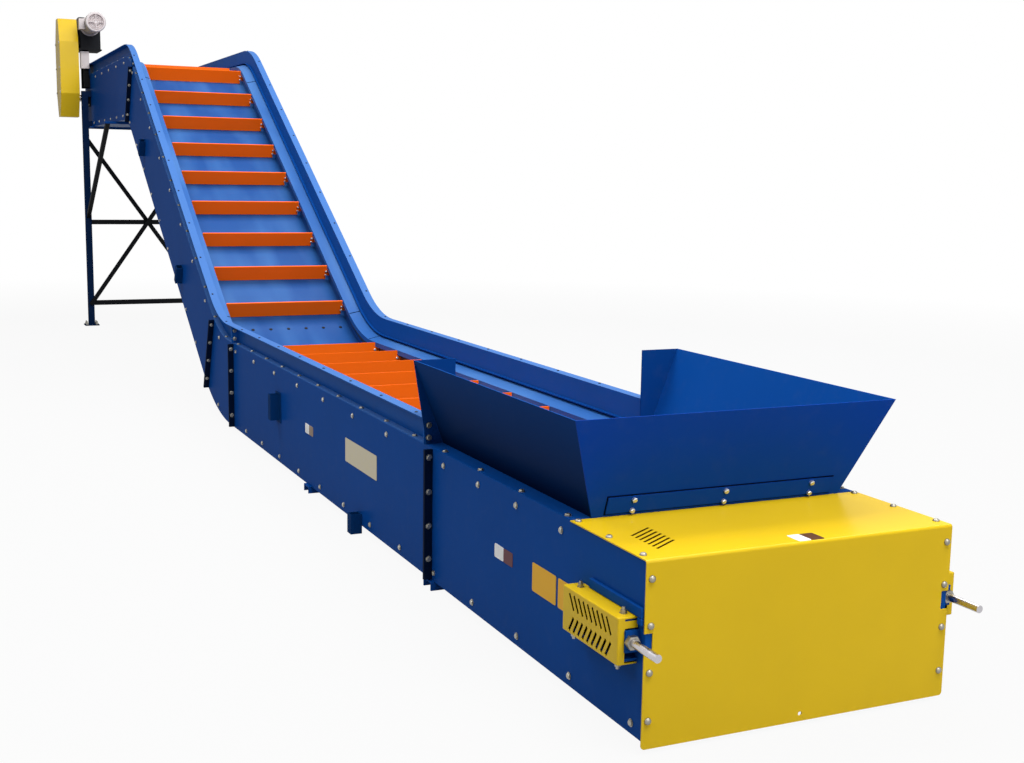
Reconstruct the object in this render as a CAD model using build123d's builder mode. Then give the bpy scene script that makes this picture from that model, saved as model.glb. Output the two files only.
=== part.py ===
from build123d import *
import math
import os

os.makedirs("parts", exist_ok=True)

# A drag chain conveyor: a level infeed with a hopper, an incline and a short
# level head with its drive. Y runs from the tail shaft to the head, X across,
# Z up from the floor. Depths are measured down from the trough's top edge.

# The trough's line
level_top = 710.0
head_top = 2853.0
incline_deg = 30.6
bend_radius = 1000.0
knuckle_radius = 900.0
bend_y = 5252.0
splice_y = 1485.0
bend_splice_y = 5120.0
bend_splice_deg = 24.0
head_end_y = 12360.0

# The trough's section
half_width = 571.0
side_depth = 114.0
bottom_clearance = 94.6
plate = 6.0
side_flange = 60.0
splice_width = 36.0
splice_plate = 8.0
splice_inset = 4.0
skirt_inset = 38.0
skirt_flange = 49.0
skirt_plate = 5.0
cover_reach = 135.0
cover_outer_depth = 122.0
cover_drop = 30.0
cover_leg = 62.0
cover_plate = 5.0
pan_depth = 275.0
pan_plate = 6.0
pan_edge = 40.0
bottom_plate = 5.0
bottom_edge = 45.0

# The chain with its flights
shaft_depth = 365.0
head_shaft_back = 349.0
link_pitch = 152.4
links_per_flight = 3
wheel_teeth = 6
chain_inset = 89.0
chain_width = 45.0
link_half = 22.0
waist_half = 15.0
flight_end_gap = 52.0
flight_rise = 60.0
flight_drop = 58.0
flight_plate = 10.0
flight_phase = -9.0
level_shift = 90.0
lug_half = 27.0
track_gap = 0.3

# Shafts, wheels and the take-up
shaft_r = 37.0
wheel_clearance = 6.0
wheel_hub_r = 62.0
wheel_web = 14.0
guide_plate = 8.0
takeup_travel = 60.0
slot_half = 46.0
slot_gap = 8.0
bearing_half = 52.0
bearing_depth = 46.0
rod_r = 13.0
rod_bore_gap = 0.5
rod_front = 120.0
slide_gap = 5.0
nut_half = 20.0
nut_length = 18.0
rod_offset = 29.0
takeup_bar = 8.0
bracket_half = 34.0
bracket_width = 48.0

# The tail guard and the hopper
guard_front_y = -270.0
guard_overhang = 5.0
guard_fold = 10.0
guard_corner = 12.0
vent_count = 7
vent_length = 121.0
vent_pitch = 25.8
vent_lean = 33.8
vent_inset = 144.0
vent_back = 290.0
guard_notch = 28.0
guard_notch_height = 62.0
guard_bottom = 15.0
guard_plate = 4.0
guard_lip = 40.0
hopper_rise = 244.0
hopper_flare = 53.0
hopper_inset = 81.0
hopper_head_y = 1555.0
hopper_tail_top_y = 104.0
hopper_tail_foot_y = 232.0
hopper_plate = 5.0
wing_inset = 126.0
strip_height = 74.0
strip_inset = 120.0
strip_plate = 6.0

# The stand and the feet
leg_back = 127.0
leg_offset = 69.0
leg_side = 64.0
leg_wall = 5.0
leg_lap = 379.0
base_side = 150.0
base_plate = 12.0
anchor_r = 9.0
anchor_pitch = 105.0
mid_bar_z = 1144.0
low_bar_z = 250.0
bar_side = 50.0
brace_drop = 113.0
brace_low_z = 240.0
brace_width = 46.0
brace_plate = 10.0
knee_drop = 971.0
knee_reach = 1716.0
knee_side = 40.0
bearer_height = 20.0
bearer_width = 150.0
skid_web = 8.0
skid_width = 90.0
foot_half = 320.0
pocket_wall = 5.0

# The drive on the near side of the head
drive_offset = 222.0
guard_depth = 194.0
guard_radius = 206.0
guard_chamfer = (120.0, 245.0)
platform_rise = 141.0
output_rise = 118.0
motor_rise = 256.0
motor_inset = 9.0
motor_length = 631.0
motor_r = 92.0
cowl_r = 103.0
cowl_length = 90.0
reducer_half = 112.0
platform_plate = 12.0
box_width = 88.0
box_height = 180.0
box_rise = 37.0
cover_length = 490.0
flange_plate = 8.0
flange_width = 36.0
flange_hole_r = 7.0

# Worked out from the sizes above
rise = math.radians(incline_deg)
sin_rise, cos_rise = math.sin(rise), math.cos(rise)
bend_centre = (bend_y, level_top + bend_radius)
climb = head_top - level_top
incline_length = (climb - (bend_radius + knuckle_radius) * (1 - cos_rise)) / sin_rise
knuckle_y = bend_y + (bend_radius + knuckle_radius) * sin_rise + incline_length * cos_rise
knuckle_centre = (knuckle_y, head_top - knuckle_radius)
shaft_z = level_top - shaft_depth
head_shaft_z = head_top - shaft_depth
pitch_radius = link_pitch / (2 * math.sin(math.pi / wheel_teeth))
trough_depth = shaft_depth + pitch_radius + flight_rise + bottom_clearance
head_bottom = head_top - trough_depth
skirt_face = half_width - skirt_inset
cover_inner = half_width - cover_reach
chain_x = half_width - chain_inset
flight_half = chain_x - flight_end_gap
takeup_x = half_width + rod_offset
guard_half = half_width + guard_overhang
hopper_top = level_top + hopper_rise
hopper_half = half_width + hopper_flare
hopper_foot = half_width - hopper_inset
wing_inner = half_width - wing_inset
strip_half = half_width - strip_inset
head_shaft_y = head_end_y - head_shaft_back
leg_y = head_shaft_y - leg_back
leg_x = half_width + leg_offset
leg_top = head_bottom + leg_lap
brace_top_z = head_bottom - brace_drop
knee_low_z = head_bottom - knee_drop
knee_head_y = leg_y - knee_reach
drive_x = -half_width - drive_offset
motor_x = motor_inset - half_width
motor_front_y = head_shaft_y - motor_length
platform_z = head_top + platform_rise
output_z = platform_z + output_rise
motor_z = platform_z + motor_rise
box_z = head_top + box_rise
cover_start_y = head_end_y - cover_length
takeup_back_y = takeup_travel + bearing_half + slide_gap + 2 * takeup_bar
guard_top = level_top - side_depth + guard_plate
tail_end_y = guard_front_y + guard_plate
trough_bottom = level_top - trough_depth
inner_width = half_width - plate
foot_z = level_top - side_depth
corner_cut = guard_fold
lean_x = (hopper_half - hopper_foot) / (hopper_top - foot_z)
lean_y = (hopper_tail_foot_y - hopper_tail_top_y) / (hopper_top - foot_z)
guard_back_y = hopper_tail_foot_y - lean_y * guard_plate - hopper_plate - track_gap
LEGS = ("level", "bend", "incline", "head")


def spot(place, depth):
    """The point at a depth below the top edge.

    A place is (leg, run): the run is Y on the level and on the head, degrees in
    the hollow bend, and the distance along the incline.
    """
    leg, run = place
    if leg == "level":
        return (run, level_top - depth)
    if leg == "head":
        return (run, head_top - depth)
    radius = bend_radius + depth
    if leg == "bend":
        turn = math.radians(run)
        return (bend_centre[0] + radius * math.sin(turn), bend_centre[1] - radius * math.cos(turn))
    start_y, start_z = bend_centre[0] + radius * sin_rise, bend_centre[1] - radius * cos_rise
    return (start_y + run * cos_rise, start_z + run * sin_rise)


def knuckle_middle(depth):
    """Half way round the crowned bend."""
    radius = knuckle_radius - depth
    return (
        knuckle_centre[0] - radius * math.sin(rise / 2),
        knuckle_centre[1] + radius * math.cos(rise / 2),
    )


def trace(depth, first, last):
    """Draws the trough's line at one depth, from place first to place last."""
    begin, end = LEGS.index(first[0]), LEGS.index(last[0])
    corners = [first]
    if begin == 0 and end > 0:
        corners.append(("bend", 0.0))
    if begin < 2 and end > 1:
        corners.append(("bend", incline_deg))
    if begin < 3 and end == 3:
        corners += [("incline", incline_length), ("head", knuckle_y)]
    corners.append(last)
    for start, stop in zip(corners, corners[1:]):
        here, there = spot(start, depth), spot(stop, depth)
        if start[0] == "bend" and stop[0] == "bend":
            ThreePointArc(here, spot(("bend", (start[1] + stop[1]) / 2), depth), there)
        elif start[0] == "incline" and stop[0] == "head":
            ThreePointArc(here, knuckle_middle(depth), there)
        elif math.dist(here, there) > 0.001:
            Line(here, there)


def band(first, last, top, bottom, x=0.0):
    """A face in the side view, at one place across, between two depths."""
    with BuildSketch(Plane.YZ.offset(x)) as face:
        with BuildLine():
            trace(top, first, last)
            Line(spot(last, top), spot(last, bottom))
            trace(bottom, first, last)
            Line(spot(first, bottom), spot(first, top))
        make_face()
    return face.sketch


def end_flange(place, thickness, top, bottom, x):
    """The face of a flat flange that stands across the trough at one place."""
    turn = {"bend": math.radians(place[1]), "incline": rise}.get(place[0], 0.0)
    step_y, step_z = thickness * math.cos(turn), thickness * math.sin(turn)
    upper, lower = spot(place, top), spot(place, bottom)
    with BuildSketch(Plane.YZ.offset(x)) as face:
        with BuildLine():
            Polyline(
                upper,
                lower,
                (lower[0] + step_y, lower[1] + step_z),
                (upper[0] + step_y, upper[1] + step_z),
                close=True,
            )
        make_face()
    return face.sketch


def hopper_x(z):
    """Half width of the hopper at a height."""
    return hopper_foot + (z - foot_z) * lean_x


def hopper_tail(z):
    """Y of the tail wall at a height."""
    return hopper_tail_foot_y - (z - foot_z) * lean_y


def finish(piece, name):
    """Labels a finished piece and writes its file."""
    piece.part.label = name
    export_step(piece.part, f"parts/{name}.step")


# The sections that the trough is bolted together from
SECTIONS = (
    # name, first place, last place
    ("tail", ("level", tail_end_y), ("level", splice_y)),
    ("level", ("level", splice_y), ("level", bend_splice_y)),
    ("bend", ("level", bend_splice_y), ("bend", bend_splice_deg)),
    ("incline", ("bend", bend_splice_deg), ("incline", incline_length)),
    ("head", ("incline", incline_length), ("head", head_end_y)),
)
SIDES = (("left", -1), ("right", 1))


def splice_flange(place, thickness, sign):
    """The face of a flange at a section's end, a little short of the plate's edges."""
    top, bottom = side_depth + splice_inset, trough_depth - splice_inset
    return end_flange(place, thickness, top, bottom, sign * half_width)


# Side plates, with a flange turned in along the top and splice flanges out
for section, first, last in SECTIONS:
    for side, sign in SIDES:
        with BuildPart() as side_plate:
            extrude(band(first, last, side_depth, trough_depth, sign * inner_width), amount=sign * plate)
            flange_x = sign * (half_width - side_flange)
            extrude(band(first, last, side_depth, side_depth + plate, flange_x), amount=sign * side_flange)
            if section != "tail":
                extrude(splice_flange(first, splice_plate, sign), amount=sign * splice_width)
            if section != "head":
                extrude(splice_flange(last, -splice_plate, sign), amount=sign * splice_width)
            if section == "tail":
                slot_length = takeup_travel + 2 * slot_half
                with BuildSketch(Plane.YZ):
                    with Locations((takeup_travel / 2, shaft_z)):
                        SlotOverall(slot_length, 2 * slot_half)
                extrude(amount=sign * 2 * half_width, mode=Mode.SUBTRACT)
                with BuildSketch(Plane.XZ.offset(-tail_end_y)):
                    with Locations((sign * (half_width - side_flange / 2), level_top - trough_depth / 2 - side_depth / 2)):
                        Rectangle(side_flange, trough_depth - side_depth)
                extrude(amount=-plate)
                with BuildSketch(Plane.YZ):
                    with Locations((tail_end_y, foot_z)):
                        Rectangle(2 * corner_cut, 2 * corner_cut)
                extrude(amount=sign * half_width, mode=Mode.SUBTRACT)
            if section == "head":
                with BuildSketch(Plane.YZ):
                    with Locations((head_shaft_y, head_shaft_z)):
                        Circle(shaft_r + slot_gap)
                extrude(amount=sign * 2 * half_width, mode=Mode.SUBTRACT)
        finish(side_plate, f"side_plate_{section}_{side}")

# Skirts above the side plates: a web with its foot and its top turned outwards
SKIRTS = (
    # name, first place, last place
    ("level", ("level", hopper_head_y), ("level", bend_splice_y)),
    ("incline", ("level", bend_splice_y), ("incline", incline_length)),
    ("head", ("incline", incline_length), ("head", head_end_y)),
)
for section, first, last in SKIRTS:
    with BuildPart() as skirt:
        for side, sign in SIDES:
            web_x = sign * (skirt_face - skirt_plate)
            foot = half_width - skirt_face
            extrude(band(first, last, 0.0, side_depth, web_x), amount=sign * skirt_plate)
            extrude(band(first, last, 0.0, skirt_plate, sign * skirt_face), amount=sign * skirt_flange)
            foot_face = band(first, last, side_depth - skirt_plate, side_depth, sign * skirt_face)
            extrude(foot_face, amount=sign * foot)
            for joint, thickness in ((first, skirt_plate), (last, -skirt_plate)):
                top, bottom = skirt_plate / 2, side_depth - skirt_plate / 2
                splice = end_flange(joint, thickness, top, bottom, sign * skirt_face)
                extrude(splice, amount=sign * skirt_flange)
    finish(skirt, f"skirts_{section}")

# Chain covers: a bent strip that leans in over each chain strand
cover_start = ("level", hopper_tail_foot_y)
cover_stop = ("head", head_end_y - 2 * side_flange)
with BuildPart() as covers:
    for side, sign in SIDES:
        with BuildLine(Plane.YZ) as cover_run:
            trace(0.0, cover_start, cover_stop)
        with BuildSketch(Plane(origin=(0, cover_start[1], level_top), x_dir=(1, 0, 0), z_dir=(0, -1, 0))):
            with BuildLine():
                Polyline(
                    (sign * inner_width, -cover_outer_depth),
                    (sign * cover_inner, -cover_outer_depth - cover_drop),
                    (sign * cover_inner, -cover_outer_depth - cover_drop - cover_plate),
                    (sign * (inner_width - cover_plate), -cover_outer_depth - cover_plate),
                    (sign * (inner_width - cover_plate), -cover_outer_depth - cover_leg),
                    (sign * inner_width, -cover_outer_depth - cover_leg),
                    close=True,
                )
            make_face()
        sweep(path=cover_run.wires()[0])
finish(covers, "chain_covers")

# Carry pans, with their edges turned down and a wear strip under each strand
pan_start = pitch_radius + takeup_travel + 2 * slot_half
pan_stop = head_shaft_y - pitch_radius - 2 * slot_half
PANS = (
    # name, first place, last place
    ("level", ("level", pan_start), ("level", bend_splice_y)),
    ("incline", ("level", bend_splice_y), ("incline", incline_length)),
    ("head", ("incline", incline_length), ("head", pan_stop)),
)
strip_top = shaft_depth - pitch_radius + link_half + track_gap
for section, first, last in PANS:
    with BuildPart() as pan:
        extrude(band(first, last, pan_depth, pan_depth + pan_plate), amount=inner_width, both=True)
        for side, sign in SIDES:
            edge = band(first, last, pan_depth, pan_depth + pan_edge, sign * (inner_width - pan_plate))
            extrude(edge, amount=sign * pan_plate)
            wear = band(first, last, strip_top, pan_depth, sign * (chain_x - chain_width / 2))
            extrude(wear, amount=sign * chain_width)
    finish(pan, f"carry_pan_{section}")

# Bottom pans: closed trays with their edges turned up inside the side plates
BOTTOMS = (
    # name, first place, last place
    ("level", ("level", tail_end_y + 2 * plate), ("level", bend_splice_y)),
    ("incline", ("level", bend_splice_y), ("incline", incline_length)),
    ("head", ("incline", incline_length), ("head", pan_stop)),
)
tray_depth = trough_depth - bottom_plate
for section, first, last in BOTTOMS:
    with BuildPart() as tray:
        extrude(band(first, last, tray_depth, trough_depth), amount=inner_width, both=True)
        for side, sign in SIDES:
            edge_x = sign * (inner_width - bottom_plate)
            edge = band(first, last, trough_depth - bottom_edge, trough_depth, edge_x)
            extrude(edge, amount=sign * bottom_plate)
    finish(tray, f"bottom_pan_{section}")

# Return tracks: ledges on the side plates that the lower strands slide on
return_depth = shaft_depth + pitch_radius + link_half + track_gap
TRACKS = (
    # first place, last place
    (("level", pan_start), ("level", bend_y - link_pitch)),
    (("incline", link_pitch), ("incline", incline_length - link_pitch)),
    (("head", knuckle_y + link_pitch), ("head", pan_stop)),
)
with BuildPart() as tracks:
    for side, sign in SIDES:
        inner = chain_x - chain_width / 2
        for first, last in TRACKS:
            ledge = band(first, last, return_depth, return_depth + pan_plate, sign * inner)
            extrude(ledge, amount=sign * (inner_width - inner))
finish(tracks, "return_tracks")

# The chain's closed loop: out along the carry run, round the head wheels, back
upper_depth = shaft_depth - pitch_radius
lower_depth = shaft_depth + pitch_radius


def run_parts(depth):
    """Lengths of the five stretches of one strand, from the tail to the head."""
    return (
        bend_y,
        (bend_radius + depth) * rise,
        incline_length,
        (knuckle_radius - depth) * rise,
        head_shaft_y - knuckle_y,
    )


def run_spot(depth, travel):
    """Point and heading on one strand, at a distance from the tail shaft."""
    level, hollow, slope, crown, _ = run_parts(depth)
    if travel < level:
        return (travel, level_top - depth), 0.0
    travel -= level
    if travel < hollow:
        radius = bend_radius + depth
        turn = travel / radius
        return (bend_centre[0] + radius * math.sin(turn), bend_centre[1] - radius * math.cos(turn)), turn
    travel -= hollow
    if travel < slope:
        return spot(("incline", travel), depth), rise
    travel -= slope
    if travel < crown:
        radius = knuckle_radius - depth
        turn = rise - travel / radius
        return (knuckle_centre[0] - radius * math.sin(turn), knuckle_centre[1] + radius * math.cos(turn)), turn
    travel -= crown
    return (knuckle_y + travel, head_top - depth), 0.0


strand = sum(run_parts(upper_depth))
wrap = math.pi * pitch_radius
loop = 2 * strand + 2 * wrap
flight_count = round(loop / (links_per_flight * link_pitch))
link_count = flight_count * links_per_flight
link = loop / link_count


def loop_spot(travel):
    """Point and heading on the whole loop, which starts above the tail shaft."""
    travel %= loop
    if travel < strand:
        return run_spot(upper_depth, travel)
    travel -= strand
    if travel < wrap:
        turn = travel / pitch_radius
        point = (head_shaft_y + pitch_radius * math.sin(turn), head_shaft_z + pitch_radius * math.cos(turn))
        return point, -turn
    travel -= wrap
    if travel < strand:
        point, heading = run_spot(lower_depth, strand - travel)
        return point, heading - math.pi
    travel -= strand
    turn = math.pi + travel / pitch_radius
    point = (pitch_radius * math.sin(turn), shaft_z + pitch_radius * math.cos(turn))
    return point, -turn


def strand_edge(way):
    """One edge of a strand's outline: full at each pin and waisted between them."""
    outline = []
    shown = strand + wrap
    for pin in range(link_count):
        travel = flight_phase + pin * link
        hidden = shown < travel < loop - wrap
        stations = [(travel, link_half)]
        if not hidden:
            stations.append((travel + link / 2, waist_half))
        for distance, half in stations:
            before, after = loop_spot(distance - link), loop_spot(distance + link)
            (y, z), heading = loop_spot(distance)
            straight = hidden and before[1] == heading == after[1]
            if not straight:
                outline.append((y - way * half * math.sin(heading), z + way * half * math.cos(heading)))
    return outline


for side, sign in SIDES:
    with BuildPart() as strand_part:
        with BuildSketch(Plane.YZ.offset(sign * (chain_x - chain_width / 2))):
            with BuildLine():
                Polyline(*strand_edge(1), close=True)
            make_face()
            with BuildLine():
                Polyline(*strand_edge(-1), close=True)
            make_face(mode=Mode.SUBTRACT)
        extrude(amount=sign * chain_width)
    finish(strand_part, f"chain_{side}")

# Flights: flat bars across the pan, with a lug at each end for the chain. The
# level run's stand further on, and the hollow bend carries none
reach = chain_x - chain_width / 2 - track_gap
FLIGHT_SETS = (
    # name, first travel, last travel, distance that the set stands further on
    ("level", 0.0, bend_y, level_shift),
    ("incline", bend_y + links_per_flight * link, strand - (head_shaft_y - knuckle_y), 0.0),
    ("head", strand - (head_shaft_y - knuckle_y), strand + wrap, 0.0),
    ("return", strand + wrap, loop, 0.0),
)
for section, begin, end, shift in FLIGHT_SETS:
    places = []
    for number in range(flight_count):
        travel = flight_phase + shift + (number * links_per_flight + 0.5) * link
        if begin <= travel < end:
            places.append(loop_spot(travel))
    with BuildPart() as flights:
        for (y, z), heading in places:
            frame = Plane(
                origin=(0, y, z),
                x_dir=(0, math.cos(heading), math.sin(heading)),
                z_dir=(1, 0, 0),
            )
            with BuildSketch(frame):
                with Locations((0, (flight_rise - flight_drop) / 2)):
                    Rectangle(flight_plate, flight_rise + flight_drop)
            extrude(amount=flight_half, both=True)
            with BuildSketch(frame):
                Rectangle(flight_plate, 2 * lug_half)
            extrude(amount=reach, both=True)
    finish(flights, f"flights_{section}")

# Wheels: a hub, a web and a smooth rim that the strand runs over
wheel_rim = pitch_radius * math.cos(math.pi / wheel_teeth) - waist_half - wheel_clearance
rim_half = chain_width / 2


def wheel_face(sign, rim, hub_gap):
    """Half section of a wheel about the shaft, in the plane across the trough."""
    rim_in = rim - 2 * guide_plate
    web = wheel_web / 2
    left, right = chain_x - rim_half, chain_x + rim_half
    outline = (
        (left, shaft_r + hub_gap),
        (right, shaft_r + hub_gap),
        (right, wheel_hub_r),
        (chain_x + web, wheel_hub_r),
        (chain_x + web, rim_in),
        (right, rim_in),
        (right, rim),
        (left, rim),
        (left, rim_in),
        (chain_x - web, rim_in),
        (chain_x - web, wheel_hub_r),
        (left, wheel_hub_r),
    )
    return [(sign * x, radius) for x, radius in outline]


WHEELS = (
    # name, shaft's y, shaft's z
    ("tail_wheels", 0.0, shaft_z),
    ("head_wheels", head_shaft_y, head_shaft_z),
)
for name, wheel_y, wheel_z in WHEELS:
    with BuildPart() as wheels:
        for side, sign in SIDES:
            with BuildSketch(Plane(origin=(0, wheel_y, wheel_z), x_dir=(1, 0, 0), z_dir=(0, -1, 0))):
                with BuildLine():
                    Polyline(*wheel_face(sign, wheel_rim, 0.0), close=True)
                make_face()
            revolve(axis=Axis((0, wheel_y, wheel_z), (1, 0, 0)))
    finish(wheels, name)

shaft_end = half_width + slide_gap + bearing_depth + 2.0
with BuildPart() as tail_shaft:
    with BuildSketch(Plane.YZ.offset(-shaft_end)):
        with Locations((0, shaft_z)):
            Circle(shaft_r)
    extrude(amount=2 * shaft_end)
finish(tail_shaft, "tail_shaft")

drive_end = drive_x - guard_depth / 2 + 20.0
with BuildPart() as head_shaft:
    with BuildSketch(Plane.YZ.offset(drive_end)):
        with Locations((head_shaft_y, head_shaft_z)):
            Circle(shaft_r)
    extrude(amount=shaft_end - drive_end)
finish(head_shaft, "head_shaft")

# Take-up: blocks that slide between bars on the side plates, pulled by threaded
# rods that run through brackets, with a nut before each bracket
rod_tip_y = guard_front_y - rod_front
louvre_front_y = guard_front_y + 44.0
louvre_sheet = 3.0
bracket_front_y = guard_front_y + 36.0
frame_front_y = louvre_front_y + louvre_sheet + 1.0
frame_length = takeup_back_y - frame_front_y
frame_width = slide_gap + bearing_depth + 10.0
guide_z = bearing_half + slide_gap
with BuildPart() as blocks:
    for side, sign in SIDES:
        with BuildSketch(Plane.YZ.offset(sign * (half_width + slide_gap))):
            with Locations((0, shaft_z)):
                RectangleRounded(2 * bearing_half, 2 * bearing_half, 14.0)
                Circle(shaft_r, mode=Mode.SUBTRACT)
        extrude(amount=sign * bearing_depth)
finish(blocks, "takeup_bearings")
with BuildPart() as rods:
    with BuildSketch(Plane.XZ.offset(bearing_half)):
        with Locations((-takeup_x, shaft_z), (takeup_x, shaft_z)):
            Circle(rod_r)
    extrude(amount=-rod_tip_y - bearing_half)
finish(rods, "takeup_rods")
with BuildPart() as nuts:
    with BuildSketch(Plane.XZ.offset(-bracket_front_y)):
        with Locations((-takeup_x, shaft_z), (takeup_x, shaft_z)):
            RegularPolygon(nut_half, 6, major_radius=False)
            Circle(rod_r + rod_bore_gap, mode=Mode.SUBTRACT)
    extrude(amount=nut_length)
finish(nuts, "takeup_nuts")
with BuildPart() as frames:
    for side, sign in SIDES:
        for up in (-1, 1):
            with BuildSketch(Plane.YZ.offset(sign * half_width)):
                with Locations((frame_front_y + frame_length / 2, shaft_z + up * (guide_z + takeup_bar / 2))):
                    Rectangle(frame_length, takeup_bar)
            extrude(amount=sign * frame_width)
        with BuildSketch(Plane.XZ.offset(-takeup_back_y)):
            with Locations((sign * (half_width + frame_width / 2), shaft_z)):
                Rectangle(frame_width, 2 * guide_z + 2 * takeup_bar)
        extrude(amount=takeup_bar)
        with BuildSketch(Plane.XZ.offset(-bracket_front_y)):
            with Locations((sign * (half_width + bracket_width / 2), shaft_z)):
                Rectangle(bracket_width, 2 * bracket_half)
            with Locations((sign * takeup_x, shaft_z)):
                Circle(rod_r + rod_bore_gap, mode=Mode.SUBTRACT)
        extrude(amount=-takeup_bar)
finish(frames, "takeup_frames")

# Louvred covers over the take-ups, each open at its front for the rod
louvre_back_y = takeup_back_y + 3.0
louvre_gap = 6.0
louvre_opening = 41.0
louvre_half = guide_z + takeup_bar + louvre_gap
louvre_face = frame_width + louvre_gap
louvre_length = louvre_back_y - louvre_front_y
with BuildPart() as louvres:
    for side, sign in SIDES:
        middle = sign * (half_width + louvre_face / 2)
        with BuildSketch(Plane.XZ.offset(-louvre_front_y)):
            with Locations((sign * (half_width + (louvre_face + louvre_sheet) / 2), shaft_z)):
                Rectangle(louvre_face + louvre_sheet, 2 * louvre_half + 2 * louvre_sheet)
        extrude(amount=-louvre_length)
        with BuildSketch(Plane.XZ.offset(-louvre_front_y - louvre_sheet)):
            with Locations((middle, shaft_z)):
                Rectangle(louvre_face, 2 * louvre_half)
        extrude(amount=-louvre_length, mode=Mode.SUBTRACT)
        with BuildSketch(Plane.XZ.offset(-louvre_front_y)):
            with Locations((sign * (half_width + bracket_width / 2), shaft_z)):
                Rectangle(bracket_width + 2 * louvre_gap, 2 * louvre_opening)
        extrude(amount=-2 * louvre_sheet, mode=Mode.SUBTRACT)
        for row, lean in ((1, -16.0), (-1, 16.0)):
            slots = [(louvre_front_y + 40.0 + 30.0 * step, shaft_z + row * 34.0) for step in range(10)]
            with BuildSketch(Plane.YZ.offset(sign * (half_width + louvre_face))):
                with Locations(*[Location((y, z), 90 + lean) for y, z in slots]):
                    SlotOverall(48.0, 8.0)
            extrude(amount=sign * 2 * louvre_sheet, mode=Mode.SUBTRACT)
finish(louvres, "takeup_guards")

# Tail guard: one sheet bent over the tail's front and top
with BuildPart() as tail_guard:
    with BuildSketch(Plane.YZ.offset(-guard_half)) as sheet:
        with BuildLine():
            Polyline(
                (guard_front_y, guard_bottom),
                (guard_front_y, guard_top),
                (guard_back_y, guard_top),
                (guard_back_y, guard_top - guard_plate),
                (guard_front_y + guard_plate, guard_top - guard_plate),
                (guard_front_y + guard_plate, guard_bottom),
                close=True,
            )
        make_face()
        inner = Vector(guard_front_y + guard_plate, guard_top - guard_plate)
        fillet(sheet.vertices().sort_by_distance(inner)[0], guard_fold - guard_plate)
        fillet(sheet.vertices().sort_by_distance(Vector(guard_front_y, guard_top))[0], guard_fold)
    extrude(amount=2 * guard_half)
    fillet(tail_guard.edges().filter_by(Axis.Y).group_by(Axis.Z)[0], guard_corner)
    with BuildSketch(Plane.XZ.offset(-guard_front_y)):
        with Locations((0, guard_bottom + 25.0)):
            Circle(7.0)
        for side, sign in SIDES:
            with Locations((sign * takeup_x, shaft_z)):
                Rectangle(2 * (takeup_x - guard_half + guard_notch), guard_notch_height)
    extrude(amount=-3 * guard_plate, mode=Mode.SUBTRACT)
    vent_x, vent_y = vent_inset - guard_half, guard_front_y + vent_back
    vents = [Location((vent_x, vent_y - vent_pitch * step), vent_lean) for step in range(vent_count)]
    with BuildSketch(Plane.XY.offset(guard_top - 2 * guard_plate)):
        with Locations(*vents):
            SlotOverall(vent_length, 8.0)
    extrude(amount=3 * guard_plate, mode=Mode.SUBTRACT)
finish(tail_guard, "tail_guard")

# Hopper: flared walls, with wings that close its head end at each side
wing_front_y = hopper_head_y - hopper_plate
for side, sign in SIDES:
    with BuildPart() as wall:
        rings = []
        for z in (foot_z, hopper_top):
            with BuildSketch(Plane.XY.offset(z)):
                with BuildLine():
                    Polyline(
                        (sign * hopper_x(z), hopper_tail(z)),
                        (sign * hopper_x(z), wing_front_y),
                        (sign * (hopper_x(z) + hopper_plate), wing_front_y),
                        (sign * (hopper_x(z) + hopper_plate), hopper_tail(z)),
                        close=True,
                    )
                make_face()
        loft(ruled=True)
        with BuildSketch(Plane.XY.offset(foot_z)):
            with BuildLine():
                Polyline(
                    (sign * hopper_foot, hopper_tail_foot_y),
                    (sign * hopper_foot, wing_front_y),
                    (sign * half_width, wing_front_y),
                    (sign * half_width, hopper_tail_foot_y),
                    close=True,
                )
            make_face()
        extrude(amount=hopper_plate)
    finish(wall, f"hopper_wall_{side}")

with BuildPart() as wings:
    for side, sign in SIDES:
        with BuildSketch(Plane.XZ.offset(-hopper_head_y)):
            with BuildLine():
                Polyline(
                    (sign * wing_inner, hopper_top),
                    (sign * (hopper_half + hopper_plate), hopper_top),
                    (sign * half_width, foot_z),
                    (sign * wing_inner, foot_z),
                    close=True,
                )
            make_face()
        extrude(amount=hopper_plate)
finish(wings, "hopper_wings")

with BuildPart() as tail_wall:
    for z in (foot_z, hopper_top):
        with BuildSketch(Plane.XY.offset(z)):
            with BuildLine():
                Polyline(
                    (-hopper_x(z) - hopper_plate, hopper_tail(z)),
                    (hopper_x(z) + hopper_plate, hopper_tail(z)),
                    (hopper_x(z) + hopper_plate, hopper_tail(z) - hopper_plate),
                    (-hopper_x(z) - hopper_plate, hopper_tail(z) - hopper_plate),
                    close=True,
                )
            make_face()
    loft(ruled=True)
    for z in (foot_z + 15.0, foot_z + strip_height):
        outer_y = hopper_tail(z) - hopper_plate
        with BuildSketch(Plane.XY.offset(z)):
            with Locations((0, outer_y)):
                Rectangle(2 * strip_half, 2 * strip_plate)
    loft(ruled=True)
finish(tail_wall, "hopper_wall_tail")

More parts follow.
